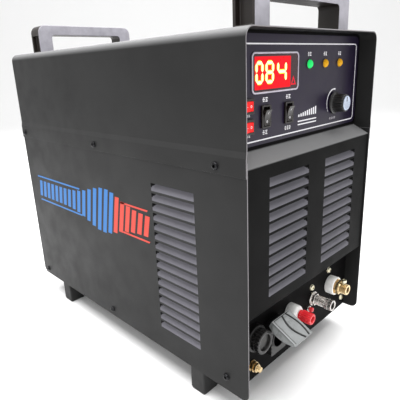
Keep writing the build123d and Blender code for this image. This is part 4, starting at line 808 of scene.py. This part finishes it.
def digit_segments(on, x_left, x_right, z_low, z_high, width):
    """Seven-segment bars: a top, b upper right, c lower right, d bottom, e lower left,
    f upper left, g middle."""
    middle = (z_low + z_high) / 2
    half, gap = width / 2, width * 0.12

    def across(z):
        a, b = x_left + half + gap, x_right - half - gap
        return [(a, z), (a + half, z - half), (b - half, z - half), (b, z),
                (b - half, z + half), (a + half, z + half)]

    def upright(x, low, high):
        a, b = low + gap, high - gap
        return [(x, a), (x + half, a + half), (x + half, b - half), (x, b),
                (x - half, b - half), (x - half, a + half)]

    low, high = z_low + half, z_high - half
    left, right = x_left + half, x_right - half
    bars = {"a": across(high), "g": across(middle), "d": across(low),
            "b": upright(right, middle, high), "c": upright(right, low, middle),
            "e": upright(left, low, middle), "f": upright(left, middle, high)}
    return [bars[key] for key in on]


def make_display():
    """The lit window, its three digits with their halo, and the small unit mark."""
    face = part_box("display_window")[0].y
    low_x, high_x, low_z, high_z = -112.0 * MM, -37.0 * MM, 449.8 * MM, 487.9 * MM
    lit = rounded_outline((high_x - low_x) / 2, (high_z - low_z) / 2, 1.2 * MM,
                          ((low_x + high_x) / 2, (low_z + high_z) / 2))
    ink("display_lit_area", [lit], GLOW_RED, "display_red", face)
    z_low, z_high = 455.6 * MM, 483.2 * MM
    digits = (("abcdef", -111.0 * MM, -94.6 * MM), ("abcdefg", -91.6 * MM, -73.2 * MM),
              ("bcfg", -67.5 * MM, -45.6 * MM))
    halo, core = [], []
    for on, left, right in digits:
        for group, grow, width in ((halo, 0.3 * MM, 5.6 * MM), (core, -0.8 * MM, 3.5 * MM)):
            group += digit_segments(on, left - grow, right + grow, z_low - grow, z_high + grow, width)
    ink("digit_halo", halo, GLOW_HALO, "display_red", face - INK_LIFT)
    ink("digit_core", core, GLOW_CORE, "display_red", face - 2 * INK_LIFT)
    left, right, low, high = -36.2 * MM, -24.4 * MM, 451.8 * MM, 463.4 * MM
    middle, line = (left + right) / 2, 1.7 * MM
    outer = [(left, low), (right, low), (middle, high)]
    inner = [(left + 1.9 * line, low + line), (right - 1.9 * line, low + line), (middle, high - 2.2 * line)]
    mesh = mesh_from("unit_mark", *ring_prism(outer, inner, (0, face, 0), ACROSS, UP, INK_LIFT))
    finish_piece("unit_mark", mesh, ROOT, GLOW_RED_DIM, "display_red")


def make_bezel():
    low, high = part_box("display_bezel")
    half_x, half_z = (high.x - low.x) / 2, (high.z - low.z) / 2
    centre = ((low.x + high.x) / 2, (low.z + high.z) / 2)
    outer = rounded_outline(half_x, half_z, 6 * MM, centre, 8)
    inner = rounded_outline(half_x - 2.1 * MM, half_z - 2.1 * MM, 4 * MM, centre, 8)
    mesh = mesh_from("display_frame", *ring_prism(outer, inner, (0, high.y, 0), ACROSS, UP, high.y - low.y))
    finish_piece("display_frame", mesh, ROOT, LIGHT_TRIM, "bezel_light", ["display_bezel"], bevel=0.5 * MM)


def make_lamps():
    """Domed lenses in small collars; the left one is lit green, the others are amber."""
    low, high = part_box("pilot_lamps")
    radius = (high.z - low.z) / 2
    size, dome = radius / MM, (OVERLAY_FACE - low.y) / MM
    lens, rim = size * 0.92, 0.6
    profile = [(-0.4, lens), (rim, lens)]
    for k in range(1, 9):
        angle = math.pi / 2 * k / 8
        profile.append((rim + (dome - rim) * math.sin(angle), lens * max(0.06, math.cos(angle))))
    collar = [(0, size * 1.16), (0.7, size * 1.12), (0.9, size * 1.02), (0.3, size * 0.9)]
    lamps = (("lamp_power", LAMP_GREEN), ("lamp_air", LAMP_AMBER), ("lamp_fault", LAMP_AMBER))
    for i, (name, material) in enumerate(lamps):
        x = low.x + radius + (high.x - low.x - 2 * radius) * i / 2
        place = Vector((x, OVERLAY_FACE, (low.z + high.z) / 2))
        turned_piece(name, place, profile, 32, material, "lamp", ["pilot_lamps"])
        turned_piece(name + "_collar", place, collar, 32, BLACK_PLASTIC, "switch_black")


def make_knob():
    """Fluted knob with a skirt, a pointer line and a spun cap."""
    centre = node_centre("current_knob")
    low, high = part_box("current_knob")
    length = (high.y - low.y) / MM
    flute = ("flute", 20, 1.15)
    profile = [(0, 15.2), (0.5, 16.0), (2.2, 16.0), (3.0, 14.6), (3.6, 13.9, ("flute", 20, 0.3)),
               (4.4, 13.7, flute), (length * 0.5, 13.3, flute), (length - 1.6, 12.9, flute),
               (length - 0.5, 12.3, ("flute", 20, 0.4)), (length, 11.4), (length - 0.5, 10.9)]
    turned_piece("knob_fluted", Vector((centre.x, high.y, centre.z)), profile, 160, BLACK_PLASTIC,
                 "knob_black", ["current_knob"], "knob", smooth_angle=40)
    cap_low, cap_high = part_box("knob_cap")
    height = (cap_high.y - cap_low.y) / MM
    rings = [(-0.4, 10.5), (height * 0.6, 10.5), (height * 0.95, 10.1), (height, 9.6),
             (height * 0.8, 8.9), (height * 0.8, 3.0), (height * 0.75, 0.8)]
    turned_piece("knob_cap_disc", Vector((centre.x, cap_high.y, centre.z)), rings, 64, SPUN_CAP,
                 "cap_silver", ["knob_cap"], "knob")
    pointer = rounded_outline(0.7 * MM, 3.4 * MM, 0.5 * MM, (centre.x, centre.z + 5.6 * MM))
    ink("knob_pointer", [pointer], GLOSS_BLACK, "knob_black", cap_low.y + 0.1 * MM, "knob")


make_prints()
make_bezel()
make_display()
make_lamps()
make_knob()


# ---------------------------------------------------------------- rocker switches
ROCKER_TILT = math.radians(12)
BLACK_ROCKER_XS, BLACK_ROCKER_Z = (-90 * MM, -40 * MM), 417 * MM
RED_ROCKER_X, RED_ROCKER_ZS = -127 * MM, (432 * MM, 407.5 * MM)


def rocker_axes(hinge):
    """Across the rocker, along it and outwards, at rest on its first side."""
    hinge = Vector(hinge)
    outward = OUTWARD
    along = outward.cross(hinge)
    return hinge, (along * math.cos(ROCKER_TILT) + outward * math.sin(ROCKER_TILT)), \
        (outward * math.cos(ROCKER_TILT) - along * math.sin(ROCKER_TILT))


def make_rocker(node, body, centre, hinge, half_length, material, slot):
    """A paddle with a dished face and its two printed marks, a ring and a line."""
    across, along, out = rocker_axes(hinge)
    centre = Vector(centre)
    half_width, end_height, middle, root = 5.75 * MM, 5.8 * MM, 4.0 * MM, 2.0 * MM
    steps = 14
    outline = [(half_length * (1 - 2 * i / steps), middle + (end_height - middle) * (1 - 2 * i / steps) ** 2)
               for i in range(steps + 1)]
    outline += [(-half_length + 2 * MM, -root), (half_length - 2 * MM, -root)]
    side = 1 if along.cross(out).dot(across) > 0 else -1
    paddle = prism(outline, centre - across * half_width * side, along, out, 2 * half_width)
    joined_piece(node + "_paddle", [paddle], material, slot, [node], body, bevel=0.45 * MM, smooth_angle=25)
    ring = [(1.5 * MM * math.cos(a), 1.5 * MM * math.sin(a))
            for a in [2 * math.pi * i / 20 for i in range(20)]]
    hole = [(x * 0.66, y * 0.66) for x, y in ring]
    parts = []
    for share in (-0.55, 0.55):
        rise = 2 * (end_height - middle) * share / half_length
        way, normal = (along + out * rise).normalized(), (out - along * rise).normalized()
        place = centre + along * half_length * share + out * (middle + (end_height - middle) * share ** 2)
        frame_axes = (place, way.cross(normal), way, INK_LIFT, INK_SINK)
        if share < 0:
            parts.append(ring_prism(ring, hole, *frame_axes))
        else:
            parts.append(prism(bar(0, 0, 0.6 * MM, 3 * MM), *frame_axes))
    joined_piece(node + "_marks", parts, INK_WHITE, slot, body=body)


def make_switches():
    """Four rockers and, in one piece, the frame and the well around each of them."""
    frames = []
    for name, x in zip(("gas_test", "latch"), BLACK_ROCKER_XS):
        make_rocker(name + "_rocker", name + "_switch", (x, OVERLAY_FACE, BLACK_ROCKER_Z), ACROSS,
                    10 * MM, GLOSS_BLACK, "switch_black")
        frames.append(((x, BLACK_ROCKER_Z), 9.25 * MM, 14 * MM, 6.15 * MM, 11.9 * MM))
    for name, z in zip(("power", "mode"), RED_ROCKER_ZS):
        make_rocker(name + "_rocker", name + "_switch", (RED_ROCKER_X, OVERLAY_FACE, z), UP,
                    8.5 * MM, RED_LIT, "switch_red")
        frames.append(((RED_ROCKER_X, z), 12.5 * MM, 9.25 * MM, 10.4 * MM, 6.15 * MM))
    proud, well, depth, wall = 3 * MM, 8 * MM, 18 * MM, 0.9 * MM
    parts = []
    for centre, half_x, half_z, well_x, well_z in frames:
        outer = rounded_outline(half_x, half_z, 1.5 * MM, centre, 4)
        inner = rounded_outline(well_x, well_z, 0.4 * MM, centre, 4)
        shell = rounded_outline(well_x + wall, well_z + wall, 0.6 * MM, centre, 4)
        parts.append(ring_prism(outer, inner, (0, OVERLAY_FACE, 0), ACROSS, UP, proud))
        parts.append(ring_prism(shell, inner, (0, OVERLAY_FACE + well, 0), ACROSS, UP, well))
        parts.append(prism(shell, (0, OVERLAY_FACE + depth, 0), ACROSS, UP, depth - well))
    joined_piece("switch_frames", parts, GLOSS_BLACK, "switch_black", ["switch_housings"], bevel=0.4 * MM)


make_switches()


# ---------------------------------------------------------------- output terminals
def make_torch_terminal():
    """White insulator, hexagon and nose of the torch fitting, and its small clamping post."""
    base = panel_base("torch_insulator")
    collar = [(0, 15.2), (0.6, 15.8), (13.4, 15.8), (14.5, 15.3), (15, 14.4), (15, 13.6),
              (14.2, 13.2), (14.2, 8.2)]
    turned_piece("torch_collar", base, collar, 64, WHITE_PLASTIC, "insulator_white", ["torch_insulator"])
    body = [(13.9, 8), (14.4, 13.0), (15, 13.2), (15, 11.9, HEX), (15.6, 12.5, HEX),
            (21.2, 12.5, HEX), (22, 11.8, HEX), (22, 9.6), (23, 9.0)]
    for i in range(7):
        start = 23.4 + 1.5 * i
        body += [(start, 9.0), (start + 0.5, 8.35), (start + 1.0, 9.0)]
    body += [(34.4, 8.9), (35, 8.2), (35, 5.6), (34.4, 5.1), (23.2, 5.0), (23.2, 2.6), (17, 2.5)]
    turned_piece("torch_fitting_turned", base, body, 72, BRASS, "brass", ["torch_fitting"])
    post = Vector((base.x, PANEL_FACE - 27 * MM, base.z + 5.5 * MM))
    stem = [(0, 2.5), (6.0, 2.5), (6.2, 3.9), (6.8, 4.3), (10.4, 4.3), (11.2, 3.7), (11.5, 2.2),
            (10.6, 1.9, HEX), (9.4, 1.8, HEX)]
    turned_piece("torch_clamp_post", post, stem, 36, PALE_BRASS, "brass", outward=UP, up=ACROSS)


def make_trigger_socket():
    """Flanged barrel with a thread, a knurled ring and the pin insert."""
    profile = [(0, 11.6), (0.4, 12), (3.4, 12), (4, 11.4), (4, 10.4, HEX), (8.4, 10.4, HEX),
               (9, 9.6, HEX), (9.1, 8.1)]
    for i in range(8):
        start = 10.4 + 1.8 * i
        profile += [(start, 8.0), (start + 0.5, 7.3), (start + 1.1, 8.0)]
    knurl = ("flute", 24, 0.9)
    profile += [(25.4, 8), (26, 8.7), (26.6, 9.0, knurl), (31, 9.0, knurl), (31.5, 8.3), (32.4, 8.3),
                (32.9, 9.0, knurl), (37.2, 9.0, knurl), (38, 8.2), (38, 6.6), (37.4, 6.2), (16.5, 6.2)]
    turned_piece("trigger_socket_turned", panel_base("trigger_socket"), profile, 96, NICKEL,
                 "nickel", ["trigger_socket"])


def make_pilot_post():
    """White base and knurled red cap of the pilot arc post."""
    base = panel_base("pilot_base")
    profile = [(0, 11.9), (0.5, 12.3), (13.5, 12.3)]
    profile += [(13.5 + 5.3 * math.sin(a), 7.4 + 4.9 * math.cos(a))
                for a in [math.pi / 2 * i / 6 for i in range(1, 7)]]
    profile.append((18.8, 3.2))
    turned_piece("pilot_base_domed", base, profile, 56, WHITE_PLASTIC, "insulator_white", ["pilot_base"])
    knurl = ("flute", 18, 1.2)
    cap = [(19.4, 6.6), (19.8, 7.6), (22.6, 7.8), (23.4, 8.6), (24.2, 8.9, knurl), (39, 8.9, knurl),
           (40.2, 8.4, ("flute", 18, 0.5)), (41, 7.4), (41, 5.2), (38.6, 4.6), (37.4, 4.3), (37.4, 3.2)]
    turned_piece("pilot_cap_knurled", base, cap, 126, RED_PLASTIC, "terminal_red", ["pilot_cap"],
                 "pilot_screw_cap")


def make_earth_socket():
    """Ribbed black shell of the work-lead socket."""
    ribs = ("flute", 22, 1.7)
    profile = [(0, 19.5), (0.6, 20), (7.6, 20), (8.8, 19.2), (9.2, 17.0), (9.8, 17.5, ribs),
               (14.0, 17.5, ribs), (14.6, 16.2), (15.4, 16.2), (16.0, 17.5, ribs), (20.8, 17.3, ribs),
               (21.6, 16.4), (22, 15.4), (22, 13.2), (21.4, 12.2), (18.4, 12.05)]
    turned_piece("earth_socket_ribbed", panel_base("earth_socket"), profile, 132, BLACK_PLASTIC,
                 "terminal_black", ["earth_socket"])


def make_ground_stud():
    """Brass stud with a thread, two nuts and washers."""
    profile = [(0, 8.0), (0.9, 8.0), (0.95, 7.0, HEX), (1.4, 7.8, HEX), (4.5, 7.8, HEX), (5.0, 7.0, HEX),
               (5.05, 7.6), (5.95, 7.6), (6.0, 6.2, HEX), (6.5, 6.8, HEX), (10.0, 6.8, HEX),
               (10.5, 6.1, HEX), (10.55, 4.0)]
    for i in range(4):
        start = 11.0 + 1.1 * i
        profile += [(start, 4.0), (start + 0.5, 3.5)]
    profile += [(15.7, 4.0), (16, 3.2)]
    turned_piece("ground_stud_turned", panel_base("ground_terminal"), profile, 60, BRASS, "brass",
                 ["ground_terminal"])


def make_fuse():
    """Small fuse carrier: nickel collar and a knurled red cap."""
    base = panel_base("fuse_holder")
    collar = [(0, 5.4, HEX), (2.4, 5.4, HEX), (2.8, 5.0, HEX), (3.0, 4.6), (3.8, 4.6), (4.0, 4.2)]
    turned_piece("fuse_collar", base, collar, 48, NICKEL, "nickel")
    knurl = ("flute", 14, 0.4)
    cap = [(3.9, 3.5), (4.3, 3.8, knurl), (9.0, 3.8, knurl), (9.7, 3.3), (10, 2.6), (10, 1.0), (9.0, 0.8)]
    turned_piece("fuse_cap_red", base, cap, 84, RED_PLASTIC, "terminal_red", ["fuse_holder"])


def outlet_box(pivot):
    """Ribbed black box under the pivot, with a round mouth, its lip and the hinge block."""
    front, box_z, mouth_radius = 14 * MM, pivot.z - 28 * MM, 14.5 * MM
    outer = rounded_outline(18.8 * MM, 25 * MM, 3 * MM, (pivot.x, box_z), 5)
    sides = len(outer)
    around = [(math.cos(a), math.sin(a)) for a in [math.pi * 2 * (i + 0.5) / sides for i in range(sides)]]
    mouth = [(pivot.x + mouth_radius * x, box_z + mouth_radius * z) for x, z in around]
    lip = [(pivot.x + (x - pivot.x) * 1.12, box_z + (z - box_z) * 1.12) for x, z in mouth]
    parts = [ring_prism(outer, mouth, (0, PANEL_FACE, 0), ACROSS, UP, front),
             ring_prism(lip, mouth, (0, PANEL_FACE + 13 * MM, 0), ACROSS, UP, 28.2 * MM),
             prism(lip, (0, PANEL_FACE + 15 * MM, 0), ACROSS, UP, 2 * MM)]
    for side in (-1, 1):
        for i in range(7):
            rib = bar(pivot.x + side * 17.4 * MM, box_z + (6 * i - 18) * MM, 1.6 * MM, 2.4 * MM)
            parts.append(prism(rib, (0, PANEL_FACE - front, 0), ACROSS, UP, 0.8 * MM))
    knuckle = [(-4 * math.cos(a) * MM, 4 * math.sin(a) * MM) for a in [math.pi * i / 10 for i in range(11)]]
    knuckle += [(16 * MM, -4 * MM), (-3 * MM, -4 * MM)]
    parts.append(prism(knuckle, (pivot.x - 12 * MM, pivot.y, pivot.z), (0, 1, 0), UP, 24 * MM))
    joined_piece("outlet_box", parts, BLACK_PLASTIC, "terminal_black", ["aux_socket"], bevel=0.4 * MM)


def outlet_visor(pivot):
    """The grey cover that hangs part open: a plate, two crescent cheeks, lines of painted groove shade and
    two bowed ribs.
    """
    slope = math.radians(27)
    along = Vector((0, -math.cos(slope), -math.sin(slope)))
    out = Vector((0, -math.sin(slope), math.cos(slope)))
    half, wall, corner, root = 21.6 * MM, 2.4 * MM, 3 * MM, -3 * MM
    tail, tip, low, high, belly = -4 * MM, 41 * MM, 4.8 * MM, 7.2 * MM, -9 * MM
    plate = [(-half, tail), (half, tail), (half, tip - corner), (half - corner, tip),
             (corner - half, tip), (-half, tip - corner)]
    shell = [prism(plate[::-1], pivot + out * high, ACROSS, along, high - low)]
    cheek_low, cheek_high = low + 0.4 * MM, high - 0.2 * MM
    crescent = [(tip, cheek_low), (tip, cheek_high), (tail, cheek_high), (tail, root)]
    for i in range(1, 16):
        t = i / 16
        sag = (belly - 0.6 * MM) * 4 * t * (1 - t) * 0.82
        crescent.append((tail + (tip - tail) * t, root * (1 - t) + cheek_low * t + sag))
    for start in (-half, half - wall):
        shell.append(prism(crescent, pivot + ACROSS * start, along, out, -wall))
    joined_piece("outlet_visor", shell, COVER_GREY, "cover_grey", ["aux_cover"], "outlet_cover",
                 bevel=0.5 * MM, smooth_angle=28)

    def on_plate(points, thickness):
        return prism(points, pivot + out * high, ACROSS, along, -thickness)

    margin, line, film = 3.4 * MM, 0.7 * MM, 0.12 * MM
    edge, back = margin - half, tail + 1.4 * MM
    start, end = tail + 2 * MM, tip - 2 * MM
    groove_shade_line = [(edge, start), (edge + line, start), (edge + line, end), (edge, end)]
    cross = [(edge, back), (-edge, back), (-edge, back + line), (edge, back + line)]
    # dark film lines on the plate: painted shade where grooves would lie
    joined_piece("visor_groove_shade", [on_plate(groove_shade_line, film), on_plate(cross, film)], PAINT_SHADED,
                 "cover_grey", body="outlet_cover")
    ribs = []
    for bow, place, width in ((-7.0 * MM, 1.0 * MM, 2.6 * MM), (4.0 * MM, 9.6 * MM, 2.0 * MM)):
        middle = []
        for i in range(17):
            t = i / 16
            middle.append((place + bow * math.sin(math.pi * t) + 4 * MM * t,
                           tail + 2 * MM + (tip - tail - 3 * MM) * t))
        sides = [[(x + side * width / 2, y) for x, y in middle] for side in (-1, 1)]
        ribs.append(on_plate(sides[0] + sides[1][::-1], 1.3 * MM))
    joined_piece("visor_ribs", ribs, BLACK_PLASTIC, "cover_grey", body="outlet_cover", bevel=0.3 * MM)


make_torch_terminal()
make_trigger_socket()
make_pilot_post()
make_earth_socket()
make_ground_stud()
make_fuse()
outlet_box(node_centre("aux_pin"))
outlet_visor(node_centre("aux_pin"))


# ---------------------------------------------------------------- rear fittings
def rear_base(node):
    """Where a fitting stands on the rear panel, and how far it reaches in millimetres."""
    low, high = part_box(node)
    return Vector(((low.x + high.x) / 2, REAR_FACE, (low.z + high.z) / 2)), (high.y - REAR_FACE) / MM


def make_rear_fittings():
    """Cable gland with a ribbed dome nut, and the hose barb of the gas inlet."""
    gland, reach = rear_base("cable_gland")
    ribs = ("flute", 18, 0.9)
    profile = [(0, 19.5, HEX), (0.5, 20.6, HEX), (6, 20.6, HEX), (6.8, 19.2, HEX), (7.2, 16.2),
               (8.4, 17.6, ribs), (reach - 6, 17.4, ribs), (reach - 3, 15.2), (reach - 0.8, 12.6),
               (reach, 11.2), (reach, 9.4), (reach - 1, 9.0), (2, 9.0)]
    turned_piece("cable_gland_ribbed", gland, profile, 108, BLACK_PLASTIC, "terminal_black",
                 ["cable_gland"], outward=BACKWARD)
    inlet, reach = rear_base("gas_inlet")
    neck, barbs = 13.5, 4
    profile = [(0, 9.6, HEX), (0.6, 11, HEX), (12, 11, HEX), (13, 9.6, HEX), (13, 5.6)]
    pitch = (reach - neck) / barbs
    for i in range(barbs):
        start = neck + pitch * i
        profile += [(start, 3.9), (start + pitch * 0.25, 5.2), (start + pitch * 0.95, 4.1)]
    profile += [(reach, 3.8), (reach, 3.1), (reach - 10, 3.0)]
    turned_piece("gas_inlet_turned", inlet, profile, 60, BRASS, "brass", ["gas_inlet"], outward=BACKWARD)


make_rear_fittings()


# ---------------------------------------------------------------- side graphic
def make_side_graphic():
    """A plain band of slanted bars between two rules, blue towards the rear and orange-red in front."""
    def stripes(name, outlines, material):
        parts = [prism(outline, (-SIDE_WALL, 0, 0), OUTWARD, UP, 0.10 * MM, -0.03 * MM)
                 for outline in outlines]
        joined_piece(name, parts, material, "cabinet_paint")

    def slanted(left, right, low, high, lean):
        return [(left, low), (right, low), (right + lean, high), (left + lean, high)]

    lean, centre_line, pitch, width = 9 * MM, 250 * MM, 17 * MM, 11 * MM
    rear_end, front_end, middle, tall = -262 * MM, 108 * MM, 6 * MM, -30 * MM
    blue, orange = [], []
    place = rear_end
    while place + width < front_end:
        half = (17 + 24 * math.exp(-((place - tall) / (62 * MM)) ** 2)) * MM
        group = blue if place + pitch < middle + 12 * MM else orange
        group.append(slanted(place, place + width, centre_line - half, centre_line + half,
                             lean * half / (20 * MM)))
        place += pitch
    for group, start, end in ((blue, rear_end, tall - 62 * MM), (orange, middle + 32 * MM, front_end)):
        for height in (centre_line + 24 * MM, centre_line - 27 * MM):
            group.append(slanted(start, end, height, height + 3 * MM, 2 * MM))
    stripes("side_bars_blue", blue, INK_BLUE)
    stripes("side_bars_orange", orange, INK_ORANGE)


make_side_graphic()


# ---------------------------------------------------------------- finishes of the CAD nodes that stay
CAD_FINISH = {
    PAINT: ("rear_panel",),
    # painted shade: these panels take the near-black copy of the cabinet paint
    PAINT_SHADED: ("base_pan", "terminal_panel", "control_panel"),
    FILM: ("control_overlay",),
    WINDOW: ("display_window",),
    BLACK_PLASTIC: ("display_module", "trigger_insert", "breaker", "fan_frame", "bus_capacitors"),
    GLOSS_BLACK: ("breaker_toggle", "fan_rotor"),
    BLACK_OXIDE: ("fan_screws",),
    ZINC: ("mounting_screws", "potentiometer", "knob_shaft", "aux_pin"),
    BRASS: ("pilot_stud", "earth_contact", "solenoid_valve", "board_standoffs"),
    WIRE_CHROME: ("fan_guard",),
    HOSE: ("gas_hose",),
    ALUMINIUM: ("heatsink",),
    MODULE: ("power_modules",),
    BOARD: ("main_board", "control_board"),
    FERRITE: ("transformer_core",),
    COPPER: ("transformer_winding", "output_choke"),
}
for material, nodes in CAD_FINISH.items():
    for node in nodes:
        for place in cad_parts[node].material_slots:
            place.material = material


# ---------------------------------------------------------------- stage, light and camera
def make_stage():
    """A pale floor that curves up into a backdrop."""
    half, reach, height, bend = 6.0, 5.0, 4.0, 1.6
    work = bmesh.new()
    outline = [(-5.0, 0.0), (reach - bend, 0.0)]
    outline += [(reach - bend + bend * math.sin(a), bend - bend * math.cos(a))
                for a in [math.pi / 2 * i / 16 for i in range(1, 17)]]
    outline.append((reach, height))
    rows = [[work.verts.new((side * half, y, z)) for side in (-1, 1)] for y, z in outline]
    for low, high in zip(rows, rows[1:]):
        work.faces.new([low[0], low[1], high[1], high[0]])
    mesh = bpy.data.meshes.new("floor")
    work.to_mesh(mesh)
    work.free()
    mesh.shade_smooth()
    floor = bpy.data.objects.new("floor", mesh)
    bpy.context.scene.collection.objects.link(floor)
    floor.rotation_euler = (0, 0, math.radians(-43))
    surface = new_material("floor_paper", (0.92, 0.92, 0.92), 0.85, Specular_IOR_Level=0.1)
    vary_roughness(surface, noise_node(surface, place_node(surface), 3.0), 0.8, 0.9)
    mesh.materials.append(surface)


def make_light(name, location, target, size, power):
    light = bpy.data.lights.new(name, "AREA")
    light.shape = "RECTANGLE"
    light.size, light.size_y = size
    light.energy = power
    holder = bpy.data.objects.new(name, light)
    holder.location = location
    holder.rotation_euler = (Vector(target) - Vector(location)).to_track_quat("-Z", "Y").to_euler()
    bpy.context.scene.collection.objects.link(holder)


def make_lights():
    target = (0, 0, 0.28)
    make_light("overhead", (-0.1, 0.0, 2.2), target, (2.4, 2.4), 110)
    make_light("left_fill", (-2.3, -0.3, 0.9), target, (1.4, 1.6), 8)
    make_light("front_fill", (0.5, -2.4, 0.7), target, (1.4, 1.4), 1)
    make_light("rear_fill", (1.4, 2.3, 1.4), target, (1.6, 1.6), 14)
    world = bpy.data.worlds.new("studio")
    world.use_nodes = True
    background = world.node_tree.nodes["Background"]
    background.inputs["Color"].default_value = (1, 1, 1, 1)
    background.inputs["Strength"].default_value = 0.85
    bpy.context.scene.world = world
    bpy.context.scene.view_settings.view_transform = "Standard"


def make_camera():
    right = Vector((0.71257668, -0.7001854, -0.04443961))
    up = Vector((0.23365837, 0.17711446, 0.95605138))
    back = Vector((-0.66154232, -0.69164361, 0.28981181))
    data = bpy.data.cameras.new("camera")
    data.sensor_width = 36
    data.lens = 37.85
    data.shift_x, data.shift_y = 0.01455, -0.01265
    data.clip_start = 0.01
    camera = bpy.data.objects.new("camera", data)
    turn = Matrix((right, up, back)).transposed().to_4x4()
    camera.matrix_world = Matrix.Translation((-0.5203, -0.5907, 0.4790)) @ turn
    bpy.context.scene.collection.objects.link(camera)
    bpy.context.scene.camera = camera


make_stage()
make_lights()
make_camera()
